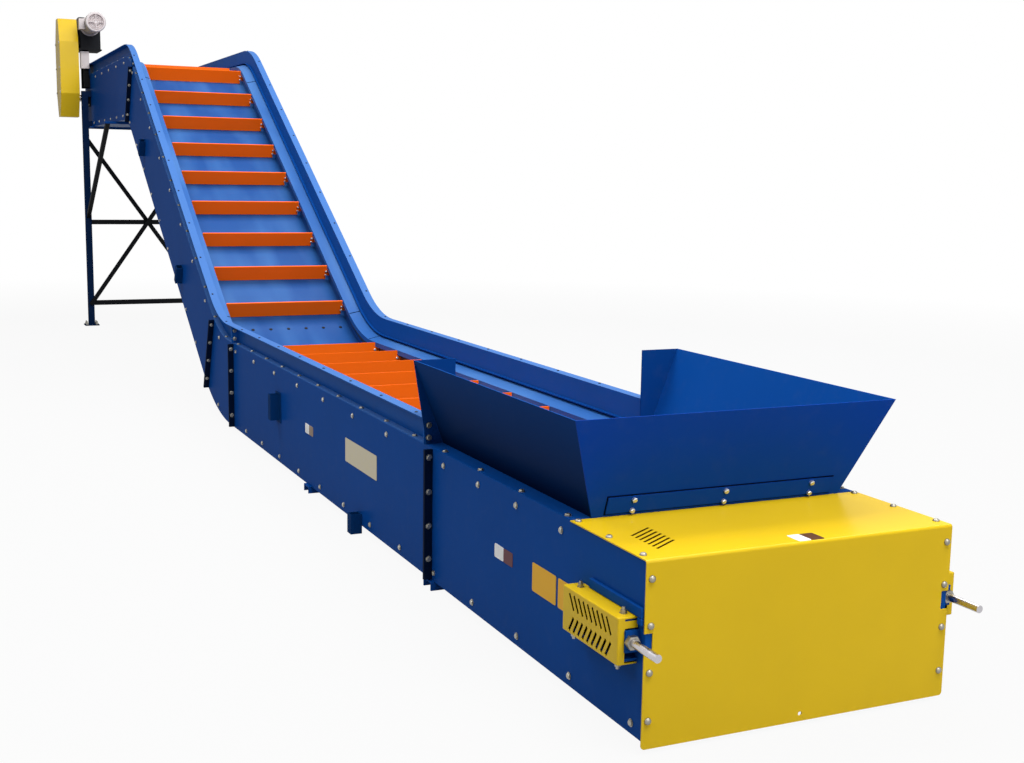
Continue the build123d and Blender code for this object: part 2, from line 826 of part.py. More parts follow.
# Stand: two posts with base plates, cross bars, crossed braces and knees
packer_height = 60.0
for side, sign in SIDES:
    with BuildPart() as leg:
        with BuildSketch(Plane.XY):
            with Locations((sign * leg_x, leg_y)):
                Rectangle(base_side, base_side)
                with GridLocations(anchor_pitch, anchor_pitch, 2, 2):
                    Circle(anchor_r, mode=Mode.SUBTRACT)
        extrude(amount=base_plate)
        with BuildSketch(Plane.XY.offset(base_plate)):
            with Locations((sign * leg_x, leg_y)):
                Rectangle(leg_side, leg_side)
                Rectangle(leg_side - 2 * leg_wall, leg_side - 2 * leg_wall, mode=Mode.SUBTRACT)
        extrude(amount=leg_top - base_plate)
        with BuildSketch(Plane.YZ.offset(sign * half_width)):
            with Locations((leg_y, head_bottom + packer_height / 2), (leg_y, leg_top - packer_height / 2)):
                Rectangle(leg_side, packer_height)
        extrude(amount=sign * (leg_x - leg_side / 2 - half_width))
    finish(leg, f"leg_{side}")

bar_half = leg_x - leg_side / 2
with BuildPart() as bars:
    for bar_z in (mid_bar_z, low_bar_z):
        with BuildSketch(Plane.YZ.offset(-bar_half)):
            with Locations((leg_y, bar_z)):
                Rectangle(bar_side, bar_side)
                Rectangle(bar_side - 2 * leg_wall, bar_side - 2 * leg_wall, mode=Mode.SUBTRACT)
        extrude(amount=2 * bar_half)
finish(bars, "stand_cross_bars")

brace_angle = math.degrees(math.atan2(brace_top_z - brace_low_z, 2 * leg_x))
brace_length = math.hypot(brace_top_z - brace_low_z, 2 * leg_x) + 20.0
with BuildPart() as braces:
    for face_y, lean in ((leg_y - leg_side / 2, brace_angle), (leg_y + leg_side / 2 + brace_plate, -brace_angle)):
        with BuildSketch(Plane.XZ.offset(-face_y)):
            with Locations(Location((0, (brace_top_z + brace_low_z) / 2), lean)):
                Rectangle(brace_length, brace_width)
        extrude(amount=brace_plate)
finish(braces, "stand_braces")

with BuildPart() as bearer:
    with BuildSketch(Plane.YZ.offset(-leg_x - leg_side / 2)):
        with Locations((knee_head_y, head_bottom - bearer_height / 2)):
            Rectangle(bearer_width, bearer_height)
    extrude(amount=2 * leg_x + leg_side)
finish(bearer, "head_bearer")

knee_top_z = head_bottom - bearer_height
leg_face_y = leg_y - leg_side / 2
knee_run = (leg_face_y - knee_head_y, knee_top_z - knee_low_z)
with BuildPart() as knees:
    for side, sign in SIDES:
        with BuildSketch(
            Plane(
                origin=(sign * leg_x, leg_face_y, knee_low_z),
                x_dir=(1, 0, 0),
                z_dir=(0, -knee_run[0], knee_run[1]),
            )
        ):
            Rectangle(knee_side, knee_side)
            Rectangle(knee_side - 2 * leg_wall, knee_side - 2 * leg_wall, mode=Mode.SUBTRACT)
        extrude(amount=math.hypot(*knee_run) + 2 * knee_side, both=True)
    split(bisect_by=Plane.XZ.offset(-leg_face_y), keep=Keep.TOP)
    split(bisect_by=Plane.XY.offset(knee_top_z), keep=Keep.BOTTOM)
finish(knees, "knee_braces")

# Skids: channels under the level trough, and the sole under the tail shaft
with BuildPart() as tail_foot:
    with BuildSketch(Plane.XY):
        Rectangle(2 * foot_half, 2 * skid_width)
    extrude(amount=skid_web)
    for skid_y in (-skid_width / 2, skid_width / 2):
        with BuildSketch(Plane.XZ.offset(-skid_y)):
            with Locations((0, trough_bottom / 2)):
                Rectangle(2 * foot_half, trough_bottom)
        extrude(amount=skid_web / 2, both=True)
finish(tail_foot, "tail_foot")
SKIDS = (1495.0, 3334.0)
with BuildPart() as skids:
    for skid_y in SKIDS:
        with BuildSketch(Plane.YZ.offset(-half_width - 15.0)):
            with Locations((skid_y, trough_bottom / 2)):
                Rectangle(skid_width, trough_bottom)
                with Locations((0, -skid_web)):
                    Rectangle(skid_width - 2 * skid_web, trough_bottom, mode=Mode.SUBTRACT)
        extrude(amount=2 * half_width + 30.0)
finish(skids, "skids")

# Pockets for stands, square tubes on the side plates, square to the trough
POCKETS = (
    # place, depth of the lower end, length, side
    (("level", 3960.0), 420.0, 150.0, 56.0),
    (("level", 2440.0), level_top, 96.0, 56.0),
    (("incline", 980.0), 560.0, 140.0, 50.0),
    (("incline", 2840.0), 520.0, 140.0, 50.0),
)
with BuildPart() as pockets:
    for place, low, length, pocket_side in POCKETS:
        y, z = spot(place, low)
        tilt = rise if place[0] == "incline" else 0.0
        for side, sign in SIDES:
            with BuildSketch(
                Plane(
                    origin=(sign * (half_width + pocket_side / 2), y, z),
                    x_dir=(1, 0, 0),
                    z_dir=(0, -math.sin(tilt), math.cos(tilt)),
                )
            ):
                Rectangle(pocket_side, pocket_side)
                Rectangle(pocket_side - 2 * pocket_wall, pocket_side - 2 * pocket_wall, mode=Mode.SUBTRACT)
            extrude(amount=length)
finish(pockets, "stand_pockets")

# The head's end plate, its low cover and the flange round the discharge
with BuildPart() as end_plate:
    with BuildSketch(Plane.XZ.offset(-head_end_y)):
        with Locations((0, (head_bottom + head_top) / 2)):
            Rectangle(2 * half_width, trough_depth)
    extrude(amount=-plate)
finish(end_plate, "head_end_plate")
with BuildPart() as head_cover:
    with BuildSketch(Plane.XY.offset(head_top)):
        with Locations((0, (cover_start_y + head_end_y) / 2)):
            Rectangle(2 * (skirt_face + skirt_flange), head_end_y - cover_start_y)
    extrude(amount=skirt_plate)
    with BuildSketch(Plane.XZ.offset(-cover_start_y)):
        with Locations((0, head_top - 20.0)):
            Rectangle(2 * (skirt_face - skirt_plate) - 1.0, 40.0)
    extrude(amount=-skirt_plate)
finish(head_cover, "head_cover")
opening_y = pan_stop + splice_plate
with BuildPart() as discharge:
    with BuildSketch(Plane.XY.offset(head_bottom)):
        with Locations((0, (opening_y + head_end_y) / 2)):
            Rectangle(2 * (half_width + flange_width), head_end_y - opening_y + 2 * flange_width)
            Rectangle(2 * inner_width, head_end_y - opening_y, mode=Mode.SUBTRACT)
            with GridLocations(2 * half_width + flange_width, head_end_y - opening_y + flange_width, 2, 2):
                Circle(flange_hole_r, mode=Mode.SUBTRACT)
    extrude(amount=-flange_plate)
finish(discharge, "discharge_flange")

# Drive: guard, reducer, motor, pedestal and switch box
with BuildPart() as chain_guard:
    for inset, mode in ((0.0, Mode.ADD), (guard_plate, Mode.SUBTRACT)):
        reach_y, end_z = guard_radius, guard_radius
        cut_y, cut_z = guard_radius - guard_chamfer[0], guard_radius - guard_chamfer[1]
        with BuildSketch(Plane.YZ.offset(drive_x - guard_depth / 2 + inset)):
            with BuildLine():
                Polyline(
                    (head_shaft_y - reach_y, head_shaft_z - cut_z),
                    (head_shaft_y - cut_y, head_shaft_z - end_z),
                    (head_shaft_y + cut_y, head_shaft_z - end_z),
                    (head_shaft_y + reach_y, head_shaft_z - cut_z),
                    (head_shaft_y + reach_y, output_z + cut_z),
                    (head_shaft_y + cut_y, output_z + end_z),
                    (head_shaft_y - cut_y, output_z + end_z),
                    (head_shaft_y - reach_y, output_z + cut_z),
                    close=True,
                )
            make_face()
            if inset:
                offset(amount=-inset, kind=Kind.INTERSECTION)
        extrude(amount=guard_depth - 2 * inset, mode=mode)
    with BuildSketch(Plane.YZ.offset(drive_x)):
        with Locations((head_shaft_y, head_shaft_z), (head_shaft_y, output_z)):
            Circle(shaft_r + slot_gap)
    extrude(amount=guard_depth, mode=Mode.SUBTRACT)
finish(chain_guard, "chain_guard")

with BuildPart() as head_bearings:
    for side, sign in SIDES:
        with BuildSketch(Plane.YZ.offset(sign * half_width)):
            with Locations((head_shaft_y, head_shaft_z)):
                RectangleRounded(170.0, 170.0, 20.0)
                Circle(shaft_r, mode=Mode.SUBTRACT)
        extrude(amount=sign * 16.0)
        with BuildSketch(Plane.YZ.offset(sign * (half_width + 16.0))):
            with Locations((head_shaft_y, head_shaft_z)):
                Circle(66.0)
                Circle(shaft_r, mode=Mode.SUBTRACT)
        extrude(amount=sign * 34.0)
finish(head_bearings, "head_bearings")

reducer_side_x = motor_x - reducer_half
guard_side_x = drive_x + guard_depth / 2
output_r = 25.0
with BuildPart() as reducer:
    with BuildSketch(Plane.XY.offset(platform_z + platform_plate)):
        with Locations((motor_x, head_shaft_y)):
            RectangleRounded(2 * reducer_half, 2 * reducer_half, 24.0)
    extrude(amount=motor_z + motor_r - platform_z - platform_plate)
    with BuildSketch(Plane.YZ.offset(guard_side_x)):
        with Locations((head_shaft_y, output_z)):
            Circle(2.8 * output_r)
    extrude(amount=reducer_side_x - guard_side_x)
    with BuildSketch(Plane.YZ.offset(drive_x - guard_depth / 4)):
        with Locations((head_shaft_y, output_z)):
            Circle(output_r)
    extrude(amount=guard_side_x - drive_x + guard_depth / 4)
finish(reducer, "reducer")

motor_back_y = head_shaft_y - reducer_half
with BuildPart() as motor:
    with BuildSketch(Plane.XZ.offset(-motor_back_y)):
        with Locations((motor_x, motor_z)):
            Circle(cowl_r)
    extrude(amount=14.0)
    with BuildSketch(Plane.XZ.offset(-motor_back_y + 14.0)):
        with Locations((motor_x, motor_z)):
            Circle(motor_r - 10.0)
            with PolarLocations(motor_r - 8.0, 24):
                Rectangle(16.0, 5.0)
    extrude(amount=motor_back_y - 14.0 - motor_front_y - cowl_length)
    with BuildSketch(Plane.YZ.offset(motor_x - motor_r - 46.0)):
        with Locations((motor_back_y - 190.0, motor_z)):
            Rectangle(110.0, 110.0)
    extrude(amount=60.0)
finish(motor, "motor")
with BuildPart() as cowl:
    with BuildSketch(Plane.XZ.offset(-motor_front_y - cowl_length)):
        with Locations((motor_x, motor_z)):
            Circle(cowl_r)
    extrude(amount=cowl_length)
    fillet(cowl.edges().group_by(Axis.Y)[0], 14.0)
    with BuildSketch(Plane.XZ.offset(-motor_front_y)):
        with Locations((motor_x, motor_z)):
            Circle(cowl_r - 24.0)
            Circle(28.0, mode=Mode.SUBTRACT)
            Rectangle(2 * cowl_r, 12.0, mode=Mode.SUBTRACT)
            Rectangle(12.0, 2 * cowl_r, mode=Mode.SUBTRACT)
    extrude(amount=-16.0, mode=Mode.SUBTRACT)
finish(cowl, "fan_cowl")

pedestal_low = head_top - 250.0
post_side = 50.0
post_gap = skirt_face + skirt_flange - half_width + 1.0
with BuildPart() as pedestal:
    for post_y in (leg_y + leg_side, head_shaft_y + 150.0):
        with BuildSketch(Plane.XY.offset(pedestal_low)):
            with Locations((-half_width - post_gap - post_side / 2, post_y)):
                Rectangle(post_side, post_side)
                Rectangle(post_side - 2 * leg_wall, post_side - 2 * leg_wall, mode=Mode.SUBTRACT)
        extrude(amount=platform_z - pedestal_low)
        with BuildSketch(Plane.YZ.offset(-half_width)):
            with Locations((post_y, pedestal_low + post_side)):
                Rectangle(post_side, 2 * post_side)
        extrude(amount=-post_gap)
    with BuildSketch(Plane.XY.offset(platform_z)):
        with Locations((motor_x - 10.0, head_shaft_y + 10.0)):
            Rectangle(2 * reducer_half + 20.0, 400.0)
    extrude(amount=platform_plate)
finish(pedestal, "drive_pedestal")

box_depth = 66.0
box_back_y = leg_y + leg_side - post_side / 2
with BuildPart() as switch_box:
    with BuildSketch(Plane.XZ.offset(-box_back_y)):
        with Locations((-half_width - post_gap - box_width / 2, box_z)):
            RectangleRounded(box_width, box_height, 6.0)
    extrude(amount=box_depth)
finish(switch_box, "switch_box")
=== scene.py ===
import math

import bpy
from mathutils import Matrix, Vector


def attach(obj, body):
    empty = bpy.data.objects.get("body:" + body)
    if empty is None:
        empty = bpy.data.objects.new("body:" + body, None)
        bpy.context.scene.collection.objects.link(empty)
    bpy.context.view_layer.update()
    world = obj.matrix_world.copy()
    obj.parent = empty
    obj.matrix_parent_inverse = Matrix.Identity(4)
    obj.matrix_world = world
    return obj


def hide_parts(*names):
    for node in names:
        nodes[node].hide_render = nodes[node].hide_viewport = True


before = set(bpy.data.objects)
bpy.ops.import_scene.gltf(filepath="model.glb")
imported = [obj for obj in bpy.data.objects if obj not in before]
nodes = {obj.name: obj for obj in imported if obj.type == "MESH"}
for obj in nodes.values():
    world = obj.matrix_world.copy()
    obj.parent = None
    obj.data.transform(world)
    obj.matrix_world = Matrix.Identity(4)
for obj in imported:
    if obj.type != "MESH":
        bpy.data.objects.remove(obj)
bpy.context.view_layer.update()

# Camera: stands a little left of the tail at eye height and looks along the
# trough, so that the drive end is small and high in the picture.
camera_place = Vector((-2.5036, -3.5224, 1.6970))
camera_yaw, camera_pitch, camera_roll = 0.42851, 0.15162, 0.01613
focal_pixels, picture_width = 1330.6, 1024
sensor_mm, view_reach = 36.0, 200.0

ahead = Vector((
    math.sin(camera_yaw) * math.cos(camera_pitch),
    math.cos(camera_yaw) * math.cos(camera_pitch),
    -math.sin(camera_pitch),
))
level_right = Vector((math.cos(camera_yaw), -math.sin(camera_yaw), 0))
level_up = level_right.cross(ahead)
right = math.cos(camera_roll) * level_right + math.sin(camera_roll) * level_up
up = math.cos(camera_roll) * level_up - math.sin(camera_roll) * level_right
bpy.ops.object.camera_add()
camera = bpy.context.object
camera.matrix_world = Matrix.Translation(camera_place) @ Matrix((right, up, -ahead)).transposed().to_4x4()
camera.data.sensor_width = sensor_mm
camera.data.lens = focal_pixels / picture_width * sensor_mm
camera.data.clip_end = view_reach
bpy.context.scene.camera = camera


# Studio: a pale floor that keeps a faint shadow, a large soft lamp overhead,
# a broad one before the tail, one over the hopper that looks up the incline and
# a weak one on the left.
def linear(code):
    """Turns an sRGB hex colour into the linear colour that a shader takes."""
    parts = [int(code[i:i + 2], 16) / 255 for i in (1, 3, 5)]
    return tuple(c / 12.92 if c <= 0.04045 else ((c + 0.055) / 1.055) ** 2.4 for c in parts) + (1.0,)


def add_node(tree, kind, settings=(), links=()):
    """Adds one node, sets its properties and inputs, and links sockets into it."""
    node = tree.nodes.new(kind)
    for key, value in dict(settings).items():
        if isinstance(key, int) or key in node.inputs:
            node.inputs[key].default_value = value
        else:
            setattr(node, key, value)
    for key, source in dict(links).items():
        tree.links.new(source, node.inputs[key])
    return node


def seen_directly(tree):
    """Is 1 for rays that show the backdrop itself, in metal and glass too."""
    path = add_node(tree, "ShaderNodeLightPath")
    shown = path.outputs["Is Camera Ray"]
    for kind in ("Is Glossy Ray", "Is Transmission Ray"):
        links = {0: shown, 1: path.outputs[kind]}
        shown = add_node(tree, "ShaderNodeMath", {"operation": "MAXIMUM"}, links).outputs[0]
    return shown


middle_y = 6.0
floor_side, floor_drop = 120.0, 0.001
shadow_radius, white_radius = 7.0, 13.0
sky_strength = 0.135

world = bpy.data.worlds.new("studio")
bpy.context.scene.world = world
world.use_nodes = True
tree = world.node_tree
tree.nodes.clear()
soft = add_node(tree, "ShaderNodeBackground", {"Color": linear("#F4F8FF"), "Strength": sky_strength})
white = add_node(tree, "ShaderNodeBackground", {"Color": (1, 1, 1, 1), "Strength": 1.0})
shown = seen_directly(tree)
mixed = add_node(tree, "ShaderNodeMixShader", {}, {0: shown, 1: soft.outputs[0], 2: white.outputs[0]})
add_node(tree, "ShaderNodeOutputWorld", {}, {"Surface": mixed.outputs[0]})

bpy.ops.object.select_all(action="DESELECT")
bpy.ops.mesh.primitive_plane_add(size=floor_side, location=(0, middle_y, -floor_drop))
floor = bpy.context.object
floor.name = "floor"
# matt paper: no gloss at all, and nearly white where the eye sees it directly
paper = bpy.data.materials.new("pale studio paper")
paper.use_nodes = True
tree = paper.node_tree
tree.nodes.clear()
matte = add_node(tree, "ShaderNodeBsdfDiffuse", {"Color": linear("#9C9C9C")})
glow = add_node(tree, "ShaderNodeEmission", {"Color": (1, 1, 1, 1), "Strength": 1.0})
# the paper's own shading fades out with distance, so that no horizon shows
spot = add_node(tree, "ShaderNodeNewGeometry").outputs["Position"]
away = add_node(tree, "ShaderNodeVectorMath", {"operation": "DISTANCE", 1: (0, middle_y, 0)}, {0: spot})
fade = add_node(
    tree,
    "ShaderNodeMapRange",
    {"From Min": shadow_radius, "From Max": white_radius, "To Min": 0.93, "To Max": 1.0},
    {"Value": away.outputs["Value"]},
)
shown = seen_directly(tree)
faint = add_node(tree, "ShaderNodeMath", {"operation": "MULTIPLY"}, {0: shown, 1: fade.outputs[0]}).outputs[0]
mixed = add_node(tree, "ShaderNodeMixShader", {}, {0: faint, 1: matte.outputs[0], 2: glow.outputs[0]})
add_node(tree, "ShaderNodeOutputMaterial", {}, {"Surface": mixed.outputs[0]})
floor.data.materials.append(paper)

LAMPS = (
    # name, place, aims at, width, height, watts
    ("overhead", (0.8, 6.0, 9.0), (0.0, 6.0, 0.5), 5.0, 16.0, 1380.0),
    ("before_the_tail", (1.5, -9.0, 4.5), (0.0, 1.0, 0.6), 7.0, 5.0, 330.0),
    ("over_the_hopper", (0.5, -2.5, 7.5), (0.0, 7.0, 1.2), 5.0, 3.0, 700.0),
    ("left_fill", (-5.0, 0.0, 4.6), (0.0, 1.8, 0.7), 4.0, 2.5, 85.0),
)
for name, place, aim, width, height, watts in LAMPS:
    bpy.ops.object.light_add(type="AREA", location=place)
    lamp = bpy.context.object
    lamp.name = name
    lamp.data.shape = "RECTANGLE"
    lamp.data.size, lamp.data.size_y = width, height
    lamp.data.energy = watts
    lamp.rotation_euler = (Vector(aim) - Vector(place)).to_track_quat("-Z", "Y").to_euler()
bpy.context.scene.view_settings.view_transform = "Standard"


# Side plates: steel plate in five bolted lengths, with a flange turned in on top
# and flanges turned out at the splices, welded and sprayed with blue enamel, like
# the return tracks, feet, frames and end plate.
def enamel(name, code, rough=0.34, shine=0.2, peel=0.05, soil="#6F7276", soiled=0.04):
    """A coat of sprayed enamel on steel: even colour, faint mottle, fine peel, some dust."""
    # the coat's thickness drifts over 400 mm, dust and rub marks lie in patches of
    # about 60 mm, and orange peel, 2 to 3 mm across, is drawn coarser so that it shows
    drift_mm, patch_mm, peel_mm, peel_height, thin_share = 400.0, 62.5, 6.25, 0.0006, 0.86
    coat = bpy.data.materials.new(name)
    coat.use_nodes = True
    tree = coat.node_tree
    tree.nodes.clear()
    place = add_node(tree, "ShaderNodeTexCoord").outputs["Object"]
    drift = add_node(tree, "ShaderNodeTexNoise", {"Scale": 1000 / drift_mm, "Detail": 3.0}, {"Vector": place})
    thick = linear(code)
    thin_coat_and_shade = tuple(c * thin_share for c in thick[:3]) + (1.0,)
    body = add_node(
        tree, "ShaderNodeMix", {"data_type": "RGBA", 6: thin_coat_and_shade, 7: thick}, {0: drift.outputs["Fac"]}
    )
    patch = add_node(
        tree,
        "ShaderNodeTexNoise",
        {"Scale": 1000 / patch_mm, "Detail": 6.0, "Roughness": 0.65},
        {"Vector": place},
    )
    dust_and_sheen = add_node(
        tree,
        "ShaderNodeMapRange",
        {"From Min": 0.52, "From Max": 0.78, "To Min": 0.0, "To Max": soiled},
        {"Value": patch.outputs["Fac"]},
    )
    worn = add_node(
        tree,
        "ShaderNodeMix",
        {"data_type": "RGBA", 7: linear(soil)},
        {0: dust_and_sheen.outputs[0], 6: body.outputs[2]},
    )
    dull = add_node(
        tree,
        "ShaderNodeMapRange",
        {"From Min": 0.35, "From Max": 0.75, "To Min": rough - 0.05, "To Max": rough + 0.12},
        {"Value": patch.outputs["Fac"]},
    )
    skin = add_node(tree, "ShaderNodeTexNoise", {"Scale": 1000 / peel_mm, "Detail": 2.0}, {"Vector": place})
    bump = add_node(
        tree, "ShaderNodeBump", {"Strength": peel, "Distance": peel_height}, {"Height": skin.outputs["Fac"]}
    )
    shell = add_node(
        tree,
        "ShaderNodeBsdfPrincipled",
        {"Specular IOR Level": 0.0, "Coat Weight": shine, "Coat Roughness": rough, "Coat IOR": 1.5},
        {"Base Color": worn.outputs[2], "Roughness": dull.outputs[0], "Normal": bump.outputs[0]},
    )
    add_node(tree, "ShaderNodeOutputMaterial", {}, {"Surface": shell.outputs[0]})
    return coat


def tint_coat(coat, code, share):
    """Lays another colour over a coat's own, as much as the share socket says."""
    tree = coat.node_tree
    shell = next(n for n in tree.nodes if n.type == "BSDF_PRINCIPLED")
    own = shell.inputs["Base Color"].links[0].from_socket
    laid = add_node(tree, "ShaderNodeMix", {"data_type": "RGBA", 7: linear(code)}, {0: share, 6: own})
    tree.links.new(laid.outputs[2], shell.inputs["Base Color"])


def coat_nodes(coat, *names):
    """Puts one finish on the CAD nodes whose names start with these words."""
    for name, node in nodes.items():
        if name.startswith(names):
            for slot in node.material_slots:
                slot.material = coat


half_width = 0.571
plate_blue_code = "#0C4896"
# deep blue enamel, a thin dusty gloss that reflects little and so stays dark
blue = enamel("blue machine enamel", plate_blue_code, rough=0.30, shine=0.07)
coat_nodes(blue, "return_tracks", "tail_foot", "skids", "takeup_frames")
coat_nodes(blue, "head_end_plate", "head_bearer", "discharge_flange")
# the same, but the flanges that stand out past the plates are tinted nearly black as painted shade
flange_shaded_blue = enamel("blue side plate enamel", plate_blue_code, rough=0.30, shine=0.07)
flange_shade_from_x = half_width + 0.0005
tree = flange_shaded_blue.node_tree
place = add_node(tree, "ShaderNodeTexCoord").outputs["Object"]
axes = add_node(tree, "ShaderNodeSeparateXYZ", {}, {"Vector": place})
out = add_node(tree, "ShaderNodeMath", {"operation": "ABSOLUTE"}, {0: axes.outputs["X"]})
past = add_node(tree, "ShaderNodeMath", {"operation": "GREATER_THAN", 1: flange_shade_from_x}, {0: out.outputs[0]})
# painted shade: every face further out than the plates' faces takes the near black
tint_coat(flange_shaded_blue, "#06152E", past.outputs[0])
coat_nodes(flange_shaded_blue, "side_plate")

# Skirts: sheets bent along both edges, which stand on the trough and are bolted to it; the same blue enamel,
# with a painted pale sheen on the flanges that face up, where the light from above falls.
skirt_blue = enamel("blue skirt enamel", "#1A5AAA", rough=0.34, shine=0.12)
tree = skirt_blue.node_tree
# painted sheen: the more a face points up, the paler its blue
facing = add_node(tree, "ShaderNodeNewGeometry").outputs["Normal"]
axes = add_node(tree, "ShaderNodeSeparateXYZ", {}, {"Vector": facing})
dust_and_sheen = add_node(
    tree,
    "ShaderNodeMapRange",
    {"From Min": 0.5, "From Max": 0.8, "To Min": 0.0, "To Max": 0.24},
    {"Value": axes.outputs["Z"]},
)
tint_coat(skirt_blue, "#7C9CC0", dust_and_sheen.outputs[0])
coat_nodes(skirt_blue, "skirts")


# Pans and chain covers: the same blue sheet steel, rubbed paler and smoother in
# streaks along the run where the flights and the load slide over it.
def rubbed_enamel(name, code, pale_code, streak):
    """Enamel that a load has polished in broad, faint streaks along the trough."""
    streak_wide_mm, streak_long_mm = 250.0, 1000.0
    coat = enamel(name, code, rough=0.38, shine=0.34, soiled=0.02)
    tree = coat.node_tree
    place = add_node(tree, "ShaderNodeTexCoord").outputs["Object"]
    scale = (1000 / streak_wide_mm, 1000 / streak_long_mm, 1.0)
    stretched = add_node(tree, "ShaderNodeMapping", {"Scale": scale}, {"Vector": place})
    lines = add_node(
        tree, "ShaderNodeTexNoise", {"Scale": 1.0, "Detail": 2.0}, {"Vector": stretched.outputs[0]}
    )
    pale = add_node(
        tree,
        "ShaderNodeMapRange",
        {"From Min": 0.42, "From Max": 0.75, "To Min": 0.0, "To Max": streak},
        {"Value": lines.outputs["Fac"]},
    )
    tint_coat(coat, pale_code, pale.outputs[0])
    return coat


# satin blue with paler lanes, as a load leaves it on the pans
pan_blue = rubbed_enamel("rubbed blue enamel", "#1A4A8A", "#4A7DB8", 0.40)
coat_nodes(pan_blue, "carry_pan", "bottom_pan")
# a lighter satin blue, since the covers lean up to the light
cover_blue = rubbed_enamel("rubbed cover enamel", "#2C60A6", "#5A88C0", 0.50)
coat_nodes(cover_blue, "chain_covers")

# Cover lips: a strip bent down along each chain cover's inner edge, which hides
# the chain from above; blue sheet steel, pressed with the cover. It follows the
# trough: a level run, a hollow bend, the incline, a crowned bend and a level head.
level_top, head_top, rise = 0.710, 2.853, math.radians(30.6)
bend_y, bend_radius, knuckle_radius, head_end_y = 5.252, 1.000, 0.900, 12.360
climb = head_top - level_top
incline_length = (climb - (bend_radius + knuckle_radius) * (1 - math.cos(rise))) / math.sin(rise)
knuckle_y = bend_y + (bend_radius + knuckle_radius) * math.sin(rise) + incline_length * math.cos(rise)


def trough_spot(leg, run, depth):
    """Point and slope on the trough at a depth below its top edge.

    The run is y on the level and on the head, the turn in the bend and in the
    knuckle, which is the crowned bend, and the distance along the incline.
    """
    if leg == "level":
        return (run, level_top - depth), 0.0
    if leg == "bend":
        radius = bend_radius + depth
        return (bend_y + radius * math.sin(run), level_top + bend_radius - radius * math.cos(run)), run
    if leg == "incline":
        (y, z), _ = trough_spot("bend", rise, depth)
        return (y + run * math.cos(rise), z + run * math.sin(rise)), rise
    if leg == "knuckle":
        radius = knuckle_radius - depth
        return (knuckle_y - radius * math.sin(run), head_top - knuckle_radius + radius * math.cos(run)), run
    return (run, head_top - depth), 0.0


def outline_plate(name, outline, x, thickness, material):
    """A flat plate in the YZ plane cut to an outline of (y, z), standing on x."""
    bpy.ops.object.select_all(action="DESELECT")
    bpy.ops.curve.primitive_bezier_curve_add(radius=1.0, location=(0, 0, 0))
    plate = bpy.context.object
    plate.data.splines.clear()
    line = plate.data.splines.new("POLY")
    line.points.add(len(outline) - 1)
    for point, (y, z) in zip(line.points, outline):
        point.co = (y, z, 0, 1)
    line.use_cyclic_u = True
    plate.data.dimensions = "2D"
    plate.data.fill_mode = "BOTH"
    plate.data.extrude = thickness / 2
    bpy.ops.object.convert(target="MESH")
    plate = bpy.context.object
    plate.data.transform(Matrix(((0, 0, 1, x), (1, 0, 0, 0), (0, 1, 0, 0), (0, 0, 0, 1))))
    plate.name = name
    plate.data.materials.append(material)
    return plate


def joined(name, parts):
    """Joins parts into one named piece."""
    bpy.ops.object.select_all(action="DESELECT")
    for part in parts:
        part.select_set(True)
    bpy.context.view_layer.objects.active = parts[0]
    if len(parts) > 1:
        bpy.ops.object.join()
    parts[0].name = name
    parts[0].data.name = name
    return parts[0]


lip_x, lip_top, lip_foot, lip_sheet = 0.4375, 0.1565, 0.1835, 0.002
lip_start_y, lip_end_gap, arc_steps = 0.30, 0.10, 8
arc_shares = [step / arc_steps for step in range(1, arc_steps + 1)]
lip_line = [("level", lip_start_y), ("level", bend_y)]
lip_line += [("bend", rise * share) for share in arc_shares]
lip_line += [("incline", incline_length)]
lip_line += [("knuckle", rise * (1 - share)) for share in arc_shares]
lip_line += [("head", head_end_y - lip_end_gap)]
lips = []
for sign in (-1, 1):
    outline = [trough_spot(leg, run, lip_top)[0] for leg, run in lip_line]
    outline += [trough_spot(leg, run, lip_foot)[0] for leg, run in reversed(lip_line)]
    lips.append(outline_plate("cover_lip", outline, sign * lip_x, lip_sheet, cover_blue))
lips = joined("cover_lips", lips)
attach(lips, "conveyor")


# Cover joints: the covers' steel sheets lap at both ends of the hollow bend and
# near the head, and each lap shows as a dark line across the sheet.
def box(name, low, high, material, round_edges=0.0):
    """A box between two corners, with its edges rounded where a radius is given."""
    bpy.ops.object.select_all(action="DESELECT")
    bpy.ops.mesh.primitive_cube_add(size=1.0)
    piece = bpy.context.object
    bpy.ops.object.mode_set(mode="EDIT")
    bpy.ops.mesh.select_all(action="SELECT")
    bpy.ops.transform.resize(value=[b - a for a, b in zip(low, high)])
    bpy.ops.transform.translate(value=[(a + b) / 2 for a, b in zip(low, high)])
    if round_edges:
        bpy.ops.mesh.bevel(offset=round_edges, segments=3)
    bpy.ops.object.mode_set(mode="OBJECT")
    piece.name = name
    piece.data.materials.append(material)
    return piece


# shade between two sheets: almost black, with no gloss
gap_black = enamel("dark joint", "#071226", rough=0.6, shine=0.0, peel=0.0, soiled=0.0)
cover_depth, cover_drop, cover_width = 0.122, 0.030, 0.129
joint_x, joint_sink = 0.5, 0.0145
joint_half = (0.0630, 0.0035, 0.0008)
COVER_LAPS = (
    # leg, run
    ("bend", math.radians(28.5)),
    ("bend", math.radians(5.0)),
    ("incline", incline_length - 0.14),
)
lean = math.atan2(cover_drop, cover_width)
joints = []
for leg, run in COVER_LAPS:
    (y, z), slope = trough_spot(leg, run, cover_depth)
    for sign in (-1, 1):
        joint = box("cover_joint", [-half for half in joint_half], joint_half, gap_black)
        laid = Matrix.Translation((sign * joint_x, 0, -joint_sink)) @ Matrix.Rotation(-sign * lean, 4, "Y")
        joint.data.transform(Matrix.Translation((0, y, z)) @ Matrix.Rotation(slope, 4, "X") @ laid)
        joints.append(joint)
joints = joined("cover_joints", joints)
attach(joints, "conveyor")

# Stand pockets: short square tubes, each welded to a pad on the side plate, that
# take the post of a stand.

